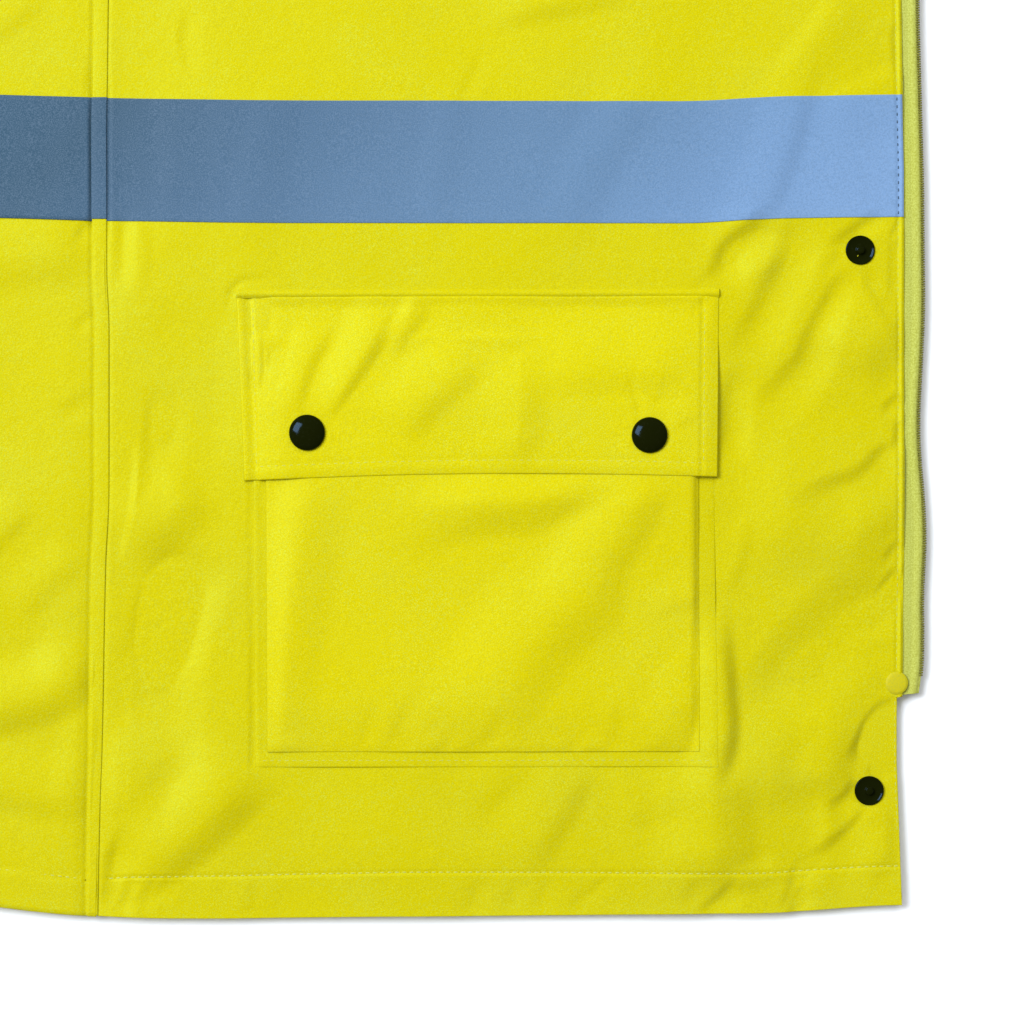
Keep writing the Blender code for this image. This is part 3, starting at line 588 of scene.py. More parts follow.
def front_height(plan):
    """The right front: level, with its folds, a hem turned up and sewn, and an edge sewn back."""
    u, v = plan[..., 0], plan[..., 1]
    from_edge = edge_at(v) - u
    from_seam = u - seam_at(v)
    from_hem = v - hem_at(u)
    z = PANEL_TOP + LOFT * smooth(from_edge / 30) * smooth(from_seam / 60) * smooth(from_hem / 30)
    z = z + folds(plan, FRONT_FOLDS) + folds(plan, BAND_FOLDS) + drift(plan)
    z = np.maximum(z, DEEPEST) + hem_relief(plan)
    # The edge over the zip: a groove at its stitches, a swell outside them, and a lip that covers the tape
    sewn_back = smooth((v - STEP_AT) / 3)
    swell = 0.3 * smooth(1 - np.abs(from_edge - 1.1) / 1.3)
    z = z + (groove(from_edge - EDGE_SEAM_IN, *EDGE_GROOVE) + swell) * sewn_back
    z = z - 0.7 * smooth(1 - from_edge / 1.1) * sewn_back
    z = np.maximum(z, (CORE_TOP + 0.8) * sewn_back)
    # The side seam, which holds the cloth down beside its lap
    z = z + (PANEL_TOP + 0.15 - z) * 0.85 * smooth(1 - from_seam / 8)
    z = z + groove(from_seam - 0.9, *SEAM_GROOVE) + groove(from_seam - 2.0, *TAPED_GROOVE) * taped(v)
    # The cloth dips beside the pocket, most of all near its lower corner
    depth = 0.4 + 0.5 * smooth((130 - v) / 50)
    dip = groove(u - read(POCKET_SIDE, v) + 0.5, 1.5, depth)
    return z + dip * smooth((v - 55) / 3) * smooth((226 - v) / 20)


def back_height(plan):
    """The back where it shows beside the side seam, drawn down along the lap and most of all low down."""
    u, v = plan[..., 0], plan[..., 1]
    past_seam = u - lap_at(v)
    z = PANEL_TOP + 0.3 * smooth(-past_seam / 12) + folds(plan, BACK_FOLDS) + drift(plan)
    z = np.maximum(z, DEEPEST) + hem_relief(plan)
    lower = smooth((200 - v) / 130)
    z = z + crease(past_seam, *BACK_CREASE) + crease(past_seam, *BACK_LOW_CREASE) * lower
    return z + crease(past_seam, *BACK_TAPED_CREASE) * taped(v)


def face_height(plan):
    """The pocket's face, a low pillow on the front that never sinks into the strip round it."""
    u, v = plan[..., 0], plan[..., 1]
    left = u - read(FACE_SIDE, v)
    right = read(FACE_FRONT, v) - u
    up = v - FACE_FOOT
    across = smooth(left / read(FACE_RISE, v)) * smooth(right / 2.2)
    swell = FACE_SWELL * across * smooth(up / 25 + 0.2) * smooth((232 - v) / 40)
    below_flap = smooth((flap_low(u) + 3 - v) / 16)
    z = FRONT_LEVEL + FACE_LIFT + swell + folds(plan, FACE_FOLDS) * below_flap + drift(plan)
    z = z + GATHERS * gathers(u, up) - 0.3 * smooth(1 - up / 2.5) - 0.55 * smooth(1 - right / 3)
    return np.maximum(z, gusset_height(plan) + 0.3)


def gathers(u, up):
    """Small uneven tucks above the seam at the foot of the pocket."""
    waves = np.sin(u / 2.9 + 1.4 * np.sin(u / 7.3)) * (0.6 + 0.4 * np.sin(u / 11.0))
    return waves * smooth(1 - up / 9) * smooth(up / 2)


def gusset_height(plan):
    """The strip round the pocket: it follows the front, softened, with a groove beside the face."""
    u, v = plan[..., 0], plan[..., 1]
    lift = front_height(plan) - FRONT_LEVEL
    z = FRONT_LEVEL + np.maximum(0.35 + 0.35 * lift, lift + 0.25)
    z = z - 0.15 * smooth(1 - (read(POCKET_FRONT, v) - u) / 3)
    return z + groove(u - read(FACE_SIDE, v) + 0.7, *GUSSET_GROOVE) * smooth((v - 60) / 4)


def flap_height(plan):
    """The flap: it comes up from its seam onto the face and lies on it, lower at its two sides."""
    u, v = plan[..., 0], plan[..., 1]
    down = read(FLAP_SEAM, u) - v
    left = u - read(FLAP_SIDE, v)
    right = read(FLAP_FRONT, v) - u
    low = v - flap_low(u)
    z = FRONT_LEVEL + FLAP_LIFT + FLAP_RISE * smooth(down / 48) + folds(plan, FLAP_FOLDS) + 0.5 * drift(plan)
    z = z - 1.8 * smooth(1 - left / 18) - 0.9 * smooth(1 - right / 9) + 0.75 * smooth(1 - down / 5)
    past_face = np.minimum(smooth((v - 231) / 5) + smooth(1 - left / 10) + smooth(1 - right / 7), 1)
    z = np.maximum(z, np.maximum(face_height(plan) + 0.8 - 1.1 * past_face, front_height(plan) + 0.7))
    z = z + crease(left - 5.4, *FLAP_SIDE_CREASE) + crease(6.6 - right, *FLAP_FRONT_CREASE)
    return z + groove(low - FLAP_SEAM_UP, *FLAP_GROOVE) - 0.35 * smooth(1 - np.minimum(right, low) / 3)


def flap_low(u):
    """Height of the flap's lower edge: straight between its corners, bowed up in the middle."""
    start, end = FLAP_LOW_SIDE, FLAP_LOW_FRONT
    share = (u - start[0]) / (end[0] - start[0])
    return start[1] + (end[1] - start[1]) * share + FLAP_BOW * np.sin(math.pi * np.clip(share, 0, 1))


# Meshes

origin = np.array([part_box("collar")[1][0] / MM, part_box("front_right")[0][1] / MM - HEM_LOW, 0.0])


class Piece:
    """The points and faces of one piece, in plan millimetres."""

    def __init__(self):
        self.points = []
        self.faces = []
        self.count = 0

    def add(self, points):
        """Adds a grid of points and returns their numbers in the same grid."""
        ids = np.arange(self.count, self.count + points.size // 3).reshape(points.shape[:-1])
        self.points.append(points.reshape(-1, 3))
        self.count += ids.size
        return ids

    def skin(self, ids, flip=False, closed=False):
        """Faces between neighbouring rows of numbers; closed joins each row's end to its start."""
        if closed:
            ids = np.concatenate([ids, ids[:, :1]], axis=1)
        quads = np.stack([ids[:-1, :-1], ids[1:, :-1], ids[1:, 1:], ids[:-1, 1:]], axis=-1).reshape(-1, 4)
        self.faces.extend((quads[:, ::-1] if flip else quads).tolist())

    def cap(self, ids, flip=False):
        """One face across a ring of numbers."""
        self.faces.append(ids[::-1].tolist() if flip else ids.tolist())

    def many(self, points, faces):
        """Adds copies of a small form: points [copy][point][3], and one copy's faces."""
        ids = self.add(points)
        for face in faces:
            self.faces.extend(ids[:, face].tolist())

    def make(self, name, finish, slot, replaces=()):
        """Makes the mesh in metres, gives it its finish, and lets it ride on the garment; slot is not used.
        """
        mesh = bpy.data.meshes.new(name)
        mesh.from_pydata(((np.concatenate(self.points) + origin) * MM).tolist(), [], self.faces)
        mesh.shade_smooth()
        mesh.materials.append(finish)
        piece = bpy.data.objects.new(name, mesh)
        bpy.context.collection.objects.link(piece)
        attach(piece, "root")
        if replaces:
            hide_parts(*replaces)
        return piece


def border(grid):
    """The closed counterclockwise outline of a grid [to the right][up]."""
    return np.concatenate([grid[:, 0], grid[-1, 1:], grid[-2::-1, -1], grid[0, -2:0:-1]])


def pulled_in(plan, distance):
    """A plan grid with its outermost points moved in."""
    loop = border(plan)
    inner = loop - outward(loop) * distance
    moved = plan.copy()
    n, m = plan.shape[0], plan.shape[1]
    moved[:, 0], moved[-1, 1:] = inner[:n], inner[n : n + m - 1]
    moved[-2::-1, -1], moved[0, -2:0:-1] = inner[n + m - 1 : 2 * n + m - 2], inner[2 * n + m - 2 :]
    return moved


def shell(plan, height, radius, foot, tuck=0.0, closed=False):
    """Cloth over a plan grid, its height given by a function, its edge rolled down.

    The outermost points move in by the radius. From there the cloth turns through a quarter circle, goes down
    to its foot and, where it tucks, in under itself.
    """
    piece = Piece()
    plan = pulled_in(plan, radius)
    top = raised(plan, height(plan))
    ids = piece.add(top)
    piece.skin(ids)
    loop, ring = border(top), border(ids)
    normal = outward(loop[:, :2])
    foot = np.broadcast_to(foot, len(loop))
    for turn in np.linspace(0, math.pi / 2, 5)[1:]:
        plan = loop[:, :2] + normal * radius * math.sin(turn)
        lower = piece.add(raised(plan, loop[:, 2] - radius * (1 - math.cos(turn))))
        piece.skin(np.stack([ring, lower]), closed=True)
        ring = lower
    for inward, height in ((0.0, foot + 0.2), (0.2, foot), *(((tuck, foot),) if tuck else ())):
        plan = loop[:, :2] + normal * (radius - inward)
        lower = piece.add(raised(plan, np.minimum(height, loop[:, 2] - radius)))
        piece.skin(np.stack([ring, lower]), closed=True)
        ring = lower
    if closed:
        piece.cap(ring, flip=True)
    return piece


# Finishes


class Value:
    """A number that changes over a surface, for use in sums."""

    def __init__(self, finish, socket):
        self.finish = finish
        self.socket = socket

    def math(self, operation, *others):
        """A Math node on this number and others."""
        return self.finish.node("ShaderNodeMath", {"operation": operation}, (self, *others))

    def __add__(self, other):
        return self.math("ADD", other)

    def __sub__(self, other):
        return self.math("SUBTRACT", other)

    def __rsub__(self, other):
        return self.finish.node("ShaderNodeMath", {"operation": "SUBTRACT"}, (other, self))

    def __mul__(self, other):
        return self.math("MULTIPLY", other)

    __radd__ = __add__
    __rmul__ = __mul__

    def between(self, low, high):
        """0 at low, 1 at high, and even in between."""
        return self.finish.node(
            "ShaderNodeMapRange", {}, {"Value": self, "From Min": low, "From Max": high}, "Result"
        )


class Finish:
    """A material, built node by node."""

    def __init__(self, name):
        self.material = bpy.data.materials.new(name)
        self.material.use_nodes = True
        self.tree = self.material.node_tree
        self.shader = self.tree.nodes["Principled BSDF"]
        self.place = self.node("ShaderNodeTexCoord", {}, (), "Object")

    def node(self, kind, settings, values, out=0):
        """Adds a node: its settings first, a ramp's stops among them, then what its sockets hold or read."""
        made = self.tree.nodes.new(kind)
        for name, setting in settings.items():
            if name == "stops":
                set_stops(made.color_ramp.elements, setting)
            else:
                setattr(made, name, setting)
        pairs = values.items() if isinstance(values, dict) else enumerate(values)
        for key, value in pairs:
            if isinstance(value, Value):
                self.tree.links.new(value.socket, made.inputs[key])
            else:
                made.inputs[key].default_value = value
        return Value(self, made.outputs[out])

    def noise(self, scale, detail=2.0, roughness=0.5, place=None):
        """Cloudy noise, its scale in clouds for each metre."""
        sockets = {"Vector": place or self.place, "Scale": scale, "Detail": detail, "Roughness": roughness}
        return self.node("ShaderNodeTexNoise", {}, sockets)

    def axis(self, name):
        """One coordinate of a place on the piece."""
        return self.node("ShaderNodeSeparateXYZ", {}, (self.place,), name)

    def blend(self, share, first, second):
        """A colour between two others."""
        sockets = {0: share, 6: colour(first), 7: colour(second)}
        return self.node("ShaderNodeMix", {"data_type": "RGBA"}, sockets, 2)

    def ramp(self, share, stops):
        """A colour read from a row of stops."""
        return self.node("ShaderNodeValToRGB", {"stops": stops}, (share,))

    def bump(self, height, distance, strength=1.0, normal=None):
        """The normal of a surface that rises by a height, times a distance in metres."""
        sockets = {"Height": height, "Distance": distance, "Strength": strength}
        if normal:
            sockets["Normal"] = normal
        return self.node("ShaderNodeBump", {}, sockets, "Normal")

    def done(self, **sockets):
        """Sets the shader's own sockets and returns the material."""
        for name, value in sockets.items():
            socket = self.shader.inputs[name.replace("_", " ")]
            if isinstance(value, Value):
                self.tree.links.new(value.socket, socket)
            else:
                socket.default_value = value
        return self.material


def colour(value):
    """A value as it is, or three numbers made a solid colour."""
    return value if isinstance(value, Value) else (*value, 1.0)


def set_stops(elements, stops):
    """Gives a ramp its stops, each a position and a colour."""
    while len(elements) < len(stops):
        elements.new(0.5)
    for element, (position, value) in zip(elements, stops):
        element.position = position
        element.color = colour(value)


def yellow_cloth(name, deep=(0.518, 0.474, 0.0), pale=(0.490, 0.532, 0.036)):
    """Coated cloth: a fine grain of two yellows, cloudy at a larger scale, with dark specks and an emboss."""
    cloth = Finish(name)
    grain = cloth.noise(1900.0, 2.0, 0.6)
    cloud = cloth.noise(28.0, 3.0, 0.55)
    share = (grain.between(0.50, 0.64) + cloud.between(0.35, 0.65) * 0.35 - 0.28).between(0.0, 1.0)
    specks = cloth.noise(2300.0, 1.0, 0.5).between(0.35, 0.65)
    emboss = cloth.noise(1300.0, 2.0, 0.5)
    dents = cloth.noise(170.0, 2.0, 0.6)
    flecked = cloth.blend(specks * 0.34, cloth.blend(share, deep, pale), (0.30, 0.26, 0.0))
    return cloth.done(
        Base_Color=flecked,
        Roughness=0.42,
        Specular_IOR_Level=0.18,
        Specular_Tint=(0.3, 1.0, 0.25, 1.0),
        Normal=cloth.bump(emboss, 0.00012, 0.8, cloth.bump(dents, 0.0006, 0.35)),
    )


PAINTED_SHEEN_SLANT = 0.9         # how much the painted sheen's steps lean over, sideways for each step up
PAINTED_SHEEN = [
    # share of the way to the front edge, colour of the painted sheen
    (0.0, (0.030, 0.079, 0.139)), (0.20, (0.031, 0.077, 0.133)), (0.38, (0.054, 0.116, 0.207)),
    (0.55, (0.080, 0.160, 0.283)), (0.72, (0.098, 0.192, 0.341)), (0.86, (0.128, 0.240, 0.437)),
    (1.0, (0.160, 0.288, 0.520)),
]


def silver_band():
    """Glass-bead tape whose colour is a painted sheen that grows toward the front edge, with a fine grain of
    light and dark beads.
    """
    tape = Finish("silver_band")
    # Painted sheen: the tape's base colour gets lighter toward the front edge and leans with height, standing
    # in for the light the beads throw back
    across = (tape.axis("X") - tape.axis("Y") * PAINTED_SHEEN_SLANT - 0.1215).between(-0.03, 0.40)
    painted_sheen = tape.ramp(across, PAINTED_SHEEN)
    beads = tape.noise(2300.0, 1.0)
    fleck = tape.noise(1100.0, 2.0, 0.7)
    # Dark flecks over the painted sheen, then light beads in the painted sheen's colour
    flecked = tape.blend(fleck.between(0.42, 0.66) * 0.22, painted_sheen, (0.05, 0.10, 0.15))
    return tape.done(
        Base_Color=tape.blend(beads.between(0.42, 0.66) * 0.10, flecked, (0.42, 0.55, 0.76)),
        Roughness=0.5,
        Specular_IOR_Level=0.1,
        Normal=tape.bump(beads, 0.00006, 0.5),
    )


def black_gloss():
    """Moulded black snap with faint scuffs."""
    snap = Finish("black_snap")
    scuff = snap.noise(700.0, 3.0, 0.7).between(0.55, 0.8)
    return snap.done(
        Base_Color=snap.blend(scuff, (0.006, 0.008, 0.001), (0.009, 0.012, 0.003)),
        Roughness=scuff * 0.12 + 0.1,
        Specular_IOR_Level=0.12,
        Specular_Tint=(0.32, 0.58, 1.0, 1.0),
    )


RIBS = 5200.0             # turns of the zip tape's ribs, in radians for each metre


def woven_tape():
    """Zip tape: fine diagonal ribs of two greens, broken up by a speckled grain."""
    tape = Finish("zip_tape")
    across = tape.axis("X")
    up = tape.axis("Y")
    ribs = ((across + up) * RIBS).math("SINE")
    crossing = ((across - up) * RIBS).math("SINE")
    weave = (ribs * crossing).between(-1.0, 1.0)
    grain = tape.noise(1700.0, 2.0, 0.6).between(0.35, 0.65)
    green = tape.blend(weave * 0.35 + grain * 0.65, (0.30, 0.32, 0.035), (0.48, 0.54, 0.13))
    return tape.done(
        Base_Color=green,
        Roughness=0.8,
        Specular_IOR_Level=0.1,
        Normal=tape.bump(weave, 0.00012, 0.8),
    )


def plain(name, deep, pale, roughness, scale=1200.0, depth=0.00005):
    """A grainy finish between two colours."""
    finish = Finish(name)
    grain = finish.noise(scale, 2.0, 0.6)
    return finish.done(
        Base_Color=finish.blend(grain.between(0.3, 0.7), deep, pale),
        Roughness=roughness,
        Specular_IOR_Level=0.15,
        Normal=finish.bump(grain, depth, 0.6),
    )


yellow = yellow_cloth("yellow_cloth")
# Painted light: the pocket's face and flap are the same cloth, given lighter copies of its yellows for the
# light they catch
face_yellow_painted_light = yellow_cloth("yellow_cloth_face_painted_light", (0.556, 0.502, 0.0), (0.520, 0.560, 0.040))
flap_yellow_painted_light = yellow_cloth("yellow_cloth_flap_painted_light", (0.560, 0.510, 0.0), (0.524, 0.566, 0.044))
hidden = yellow_cloth("hidden_cloth")
silver = silver_band()
black = black_gloss()
tape_green = woven_tape()
coil_olive = plain("zip_coil", (0.10, 0.10, 0.012), (0.22, 0.22, 0.04), 0.45)
rivet_yellow = plain("yellow_rivet", (0.50, 0.44, 0.0), (0.40, 0.40, 0.02), 0.5, 1900.0, 0.0002)
thread = plain("thread_yellow", (0.43, 0.47, 0.07), (0.50, 0.56, 0.17), 0.7, 3000.0)
# Painted shade: the dark of the needle holes, where shade falls into the pits
needle_hole_shade = plain("needle_hole_shade", (0.36, 0.31, 0.0), (0.42, 0.36, 0.0), 0.8, 3000.0)
thread_blue = plain("thread_blue", (0.04, 0.07, 0.12), (0.08, 0.14, 0.22), 0.7, 3000.0)

# Sewing

STITCH_FORM = [
    # share of the length, share of the width: a thread that dips into the cloth at both ends
    (-0.5, 0.35), (-0.36, 0.9), (0.0, 1.0), (0.36, 0.9), (0.5, 0.35),
]
SIDES = 6                 # of a stitch and of a zip tooth


def rod_faces(rings):
    """Faces of a closed rod whose points are numbered ring after ring."""
    faces = [
        [r * SIDES + k, r * SIDES + (k + 1) % SIDES, (r + 1) * SIDES + (k + 1) % SIDES, (r + 1) * SIDES + k]
        for r in range(rings - 1)
        for k in range(SIDES)
    ]
    return faces + [list(range(SIDES))[::-1], [(rings - 1) * SIDES + k for k in range(SIDES)]]


def stitches(name, path, height, finish=thread, pitch=STITCH, length=0.6, width=0.5, lift=0.0, phase=0.5):
    """A row of stitches along a line, each a short rod with domed ends that lies in the cloth.

    Length and phase are shares of the pitch.
    """
    run = np.linalg.norm(np.diff(path, axis=0), axis=1)
    along = np.concatenate([[0.0], np.cumsum(run)])
    count = max(int(along[-1] / pitch), 1)
    middle = (np.arange(count) + phase) * along[-1] / count
    shares = np.array([row[0] for row in STITCH_FORM]) * pitch * length
    at = middle[:, None] + shares[None]
    plan = np.stack([np.interp(at, along, path[:, k]) for k in (0, 1)], axis=-1)
    centre = raised(plan, height(plan.reshape(-1, 2)).reshape(plan.shape[:-1]) + lift)
    centre[..., 2] -= width * 0.4 * (np.abs(shares / shares[-1]) ** 4)[None]
    forward = unit(centre[:, -1] - centre[:, 0])
    side = unit(np.cross(forward, (0.0, 0.0, 1.0)))
    upward = np.cross(side, forward)
    turns = np.linspace(0, 2 * math.pi, SIDES, endpoint=False)
    widths = np.array([row[1] for row in STITCH_FORM]) * width / 2
    ring = np.cos(turns)[:, None] * side[:, None, None] + np.sin(turns)[:, None] * upward[:, None, None]
    points = centre[:, :, None] + widths[None, :, None, None] * ring
    piece = Piece()
    piece.many(points.reshape(count, -1, 3), rod_faces(len(STITCH_FORM)))
    return piece.make(name, finish, "yellow_cloth")


def sewn(name, path, height):
    """A row of stitches with a small dark mark between each two of them, painted shade in the needle hole
    there.
    """
    stitches(name, path, height)
    # The second row is small dark rods sunk into the cloth: painted shade in the needle holes
    stitches(name + "_hole_shade", path, height, needle_hole_shade, length=0.24, width=0.65, lift=-0.14, phase=0.0)


# Right front

# Rows of the front's grid are closest together up to the first height, and close up to the second
FINEST_TO, FINE_TO = 22.0, 372.0
FINEST_ROWS, FINE_ROWS, COARSE_ROWS, ARMHOLE_ROWS = 40, 250, 50, 36
COLUMNS = 240
STEP_HALF = 0.15          # the front edge steps out between two rows this far below and above the step


def front_plan():
    """[side seam to front edge][hem to shoulder and neckline]"""
    upper = armhole(2 * ARMHOLE_ROWS)[ARMHOLE_ROWS:]
    join = upper[0, 1]
    columns = close_at_ends(COLUMNS)
    across = (1 - columns) * (seam_at(0.0) + GAP)
    low = np.stack([across, hem_at(across)], axis=1)
    fine = line(FINEST_TO, FINE_TO, FINE_ROWS)[1:]
    fine = np.sort(np.append(fine[np.abs(fine - STEP_AT) > 1], (STEP_AT - STEP_HALF, STEP_AT + STEP_HALF)))
    rows = np.concatenate([line(0, FINEST_TO, FINEST_ROWS), fine, line(FINE_TO, join, COARSE_ROWS)[1:]])
    up = low[0, 1] + rows * (join - low[0, 1]) / join
    left = np.concatenate([np.stack([seam_at(up) + GAP, up], axis=1), upper[1:]])
    rows = np.concatenate([rows, line(join, NECK_FRONT[1], ARMHOLE_ROWS)[1:]])
    right = np.stack([edge_at(rows), rows], axis=1)
    right[-1], low[0], low[-1] = NECK_FRONT, left[0], right[0]
    high = resampled(np.concatenate([line(SHOULDER, NECK_SIDE, 130), neckline(80)[-2::-1]]), columns)
    return patch(low, high, left, right, rows / rows[-1])


front = shell(front_plan(), front_height, radius=0.35, foot=PANEL_LOW + 0.1, tuck=3.0)
front = front.make("right_front", yellow, "yellow_cloth", ["front_right"])


# Back, round the side fold, and the lapped side seam


def wall(outer, inner, bulge, flip=False):
    """Cloth between two grids of the same shape, its cut edges rounded out by the bulge."""
    piece = Piece()
    over, under = piece.add(outer), piece.add(inner)
    piece.skin(over, flip=flip)
    piece.skin(under, flip=not flip)
    edge_out, edge_in = border(outer), border(inner)
    inside = border(np.pad(outer[1:-1, 1:-1], ((1, 1), (1, 1), (0, 0)), mode="edge"))
    middle = piece.add((edge_out + edge_in) / 2 + bulge * unit(edge_out - inside))
    rims = [border(over), middle, border(under)]
    piece.skin(np.stack(rims), closed=True, flip=flip)
    return piece


def roll(edge, turns, radius):
    """Columns round the side fold: each is a turn about its middle line, at a radius given for the turn."""
    columns = []
    for turn in turns:
        out = radius(turn)
        place = edge - np.stack([out * math.sin(turn), 0 * out], axis=-1)
        columns.append(raised(place, FOLD_MIDDLE + out * math.cos(turn)))
    return np.stack(columns)


def back_radius(top, turn):
    """The radius of the back's roll: the fold's own below, and what meets the cloth's height on top."""
    share = (1 + math.cos(turn)) / 2
    return (top - FOLD_MIDDLE) * share + FOLD_RADIUS * (1 - share)


UNDER_BACK = 10.0         # how far the back runs on under itself past the fold
BACK_COLUMNS, BACK_ROWS = 64, 300
BACK_TURNS = np.linspace(math.pi, 0, 12)[:-1]


def back_piece():
    """[fold to side seam][hem to armhole], with the roll and a strip of the underside before it."""
    across = SIDE_FOLD[0][1] + close_at_ends(BACK_COLUMNS) * (seam_at(0.0) - SIDE_FOLD[0][1])
    foot = np.stack([across, hem_at(across)], axis=1)
    top = resampled(armhole()[:29], close_at_ends(BACK_COLUMNS))
    fold_up = line(foot[0, 1], top[0, 1], BACK_ROWS)
    fold = np.stack([side_fold_at(fold_up), fold_up], axis=1)
    seam_up = line(foot[-1, 1], top[-1, 1], BACK_ROWS)
    seam = np.stack([seam_at(seam_up), seam_up], axis=1)
    fold[0], fold[-1], seam[0], seam[-1] = foot[0], top[0], foot[-1], top[-1]
    plan = patch(foot, top, fold, seam)
    plan[0, :, 0] += FOLD_RADIUS
    z = back_height(plan)
    sides = []
    for depth in (0.0, 0.9):
        under = raised(plan[:1] + (UNDER_BACK, 0), FOLD_MIDDLE - FOLD_RADIUS + depth)
        round_fold = roll(plan[0], BACK_TURNS, lambda turn: back_radius(z[0], turn) - depth)
        sides.append(np.concatenate([under, round_fold, raised(plan, z - depth)]))
    return wall(*sides, bulge=0.35)


back = back_piece().make("back_cloth", yellow, "yellow_cloth", ["back"])


def strip_height(plan):
    """The lap of the side seam: a flat strip, a little crowned, sewn down along both edges."""
    u, v = plan[..., 0], plan[..., 1]
    across = np.clip((u - lap_at(v)) / (seam_at(v) - lap_at(v)), 0, 1.2)
    return PANEL_TOP + 0.2 + 0.3 * across + 0.1 * (1 - (2 * across - 1) ** 2)


def strip_plan(low, high, left, right, across, rows):
    """Plan points on the side seam's lap between two heights, wider by the shifts at its left and right."""
    up = line(low, high, rows)
    share = line(0, 1, across)[:, None]
    place = (1 - share) * (lap_at(up) - left) + share * (seam_at(up) + right)
    return np.stack([place, np.broadcast_to(up, (across + 1, rows + 1))], axis=-1)


lap_plan = strip_plan(low=-4.2, high=590.8, left=0.0, right=0.8, across=8, rows=300)
seam_strip = shell(lap_plan, strip_height, radius=0.35, foot=PANEL_TOP - 1.1)
seam_strip = seam_strip.make("side_seam_lap", yellow, "yellow_cloth", ["side_seam"])


# Hidden layers: both halves of the back and the left front


RIM = [
    # height, in from the outline at a cut edge, in from it at a fold
    (0.0, 0.9, 1.3), (0.15, 0.3, 0.8), (0.4, 0.05, 0.35), (0.8, 0.0, 0.05), (1.1, 0.2, 0.0), (1.3, 0.9, 0.0),
    (1.38, 3.0, 0.0), (1.46, 0.9, 0.05), (1.7, 0.3, 0.1), (2.1, 0.2, 0.45), (2.5, 0.4, 1.0), (2.72, 1.2, 2.0),
    (2.84, 3.4, 3.6), (2.96, 2.2, 2.4), (3.2, 1.6, 1.9), (3.6, 1.5, 1.7), (4.0, 1.8, 2.0), (4.2, 2.6, 2.8),
]


def layers_piece():
    """One rounded solid. Its rim shows three cut hems, and a roll where two layers join at a fold."""
    across = line(SIDE_FOLD[0][1], -BACK_FOLD_IN, 90)
    hem = np.stack([across, hem_at(across) + LOWER_HEMS_IN], axis=1)
    right = line((-BACK_FOLD_IN, 2.0), (-BACK_FOLD_IN, COLLAR_TOP_FRONT[1] - 2), 60)
    right[0] = hem[-1]
    top = collar_top(20)[1:] - (0, 2)
    shoulder = line(NECK_SIDE, SHOULDER, 40)[:-1]
    side_up = line(ARMPIT[1], 0, 120)[1:-1]
    side = np.stack([side_fold_at(side_up), side_up], axis=1)
    outline = np.concatenate([hem, right[1:], top, shoulder, armhole(60)[::-1], side])
    along_fold = np.zeros(len(outline))
    along_fold[-len(side) :] = 1.0
    along_fold[len(hem) : len(hem) + len(right)] = 1.0
    for _ in range(4):
        along_fold = (along_fold + np.roll(along_fold, 1) + np.roll(along_fold, -1)) / 3
    normal = outward(outline)
    rings = []
    for height, at_cut, at_fold in RIM:
        inward = at_cut + along_fold * (at_fold - at_cut)
        rings.append(raised(outline - normal * inward[:, None], height))
    piece = Piece()
    ids = piece.add(np.stack(rings))
    piece.skin(ids, closed=True, flip=True)
    piece.cap(ids[0], flip=True)
    piece.cap(ids[-1])
    return piece


layers = layers_piece().make("hidden_layers", hidden, "hidden_cloth", ["folded_layers"])


# Collar


def collar_height(plan):
    """Two layers of cloth, soft over the fold at the top."""
    u, v = plan[..., 0], plan[..., 1]
    share = smooth((v - 742) / 120)
    return PANEL_TOP + 0.5 + 0.35 * np.sin(u / 19.0) * share + 0.3 * np.sin(v / 16.0 + u / 40.0) * share


def collar_plan():
    """[side of the neck to its front][seam to fold]: even steps between the collar's two curves."""
    low = neckline(60)[::-1] + (0, GAP)
    high = collar_top(60)[::-1]
    return patch(low, high, line(low[0], high[0], 60), line(low[-1], high[-1], 60))


collar = shell(collar_plan(), collar_height, radius=0.9, foot=PANEL_LOW + 0.1, closed=True)
collar = collar.make("collar_cloth", yellow, "yellow_cloth", ["collar"])


# Sleeves

SLEEVE_STEPS = 130
ACROSS_STEPS = 56
EDGE_TURNS = np.linspace(-math.pi / 2, math.pi / 2, 9)


def sleeve_plan(name):
    """[armhole to cuff][inner edge to outer edge], clear of the armhole by a gap."""
    cuff_inner, cuff_outer, inner_bends, outer_bends = SLEEVES[name]
    top = beside(armhole(ACROSS_STEPS), 1.2 * GAP)
    inner = bezier(top[0], inner_bends, cuff_inner, SLEEVE_STEPS)
    outer = bezier(top[-1], outer_bends, cuff_outer, SLEEVE_STEPS)
    return patch(inner, outer, top, line(cuff_inner, cuff_outer, ACROSS_STEPS))


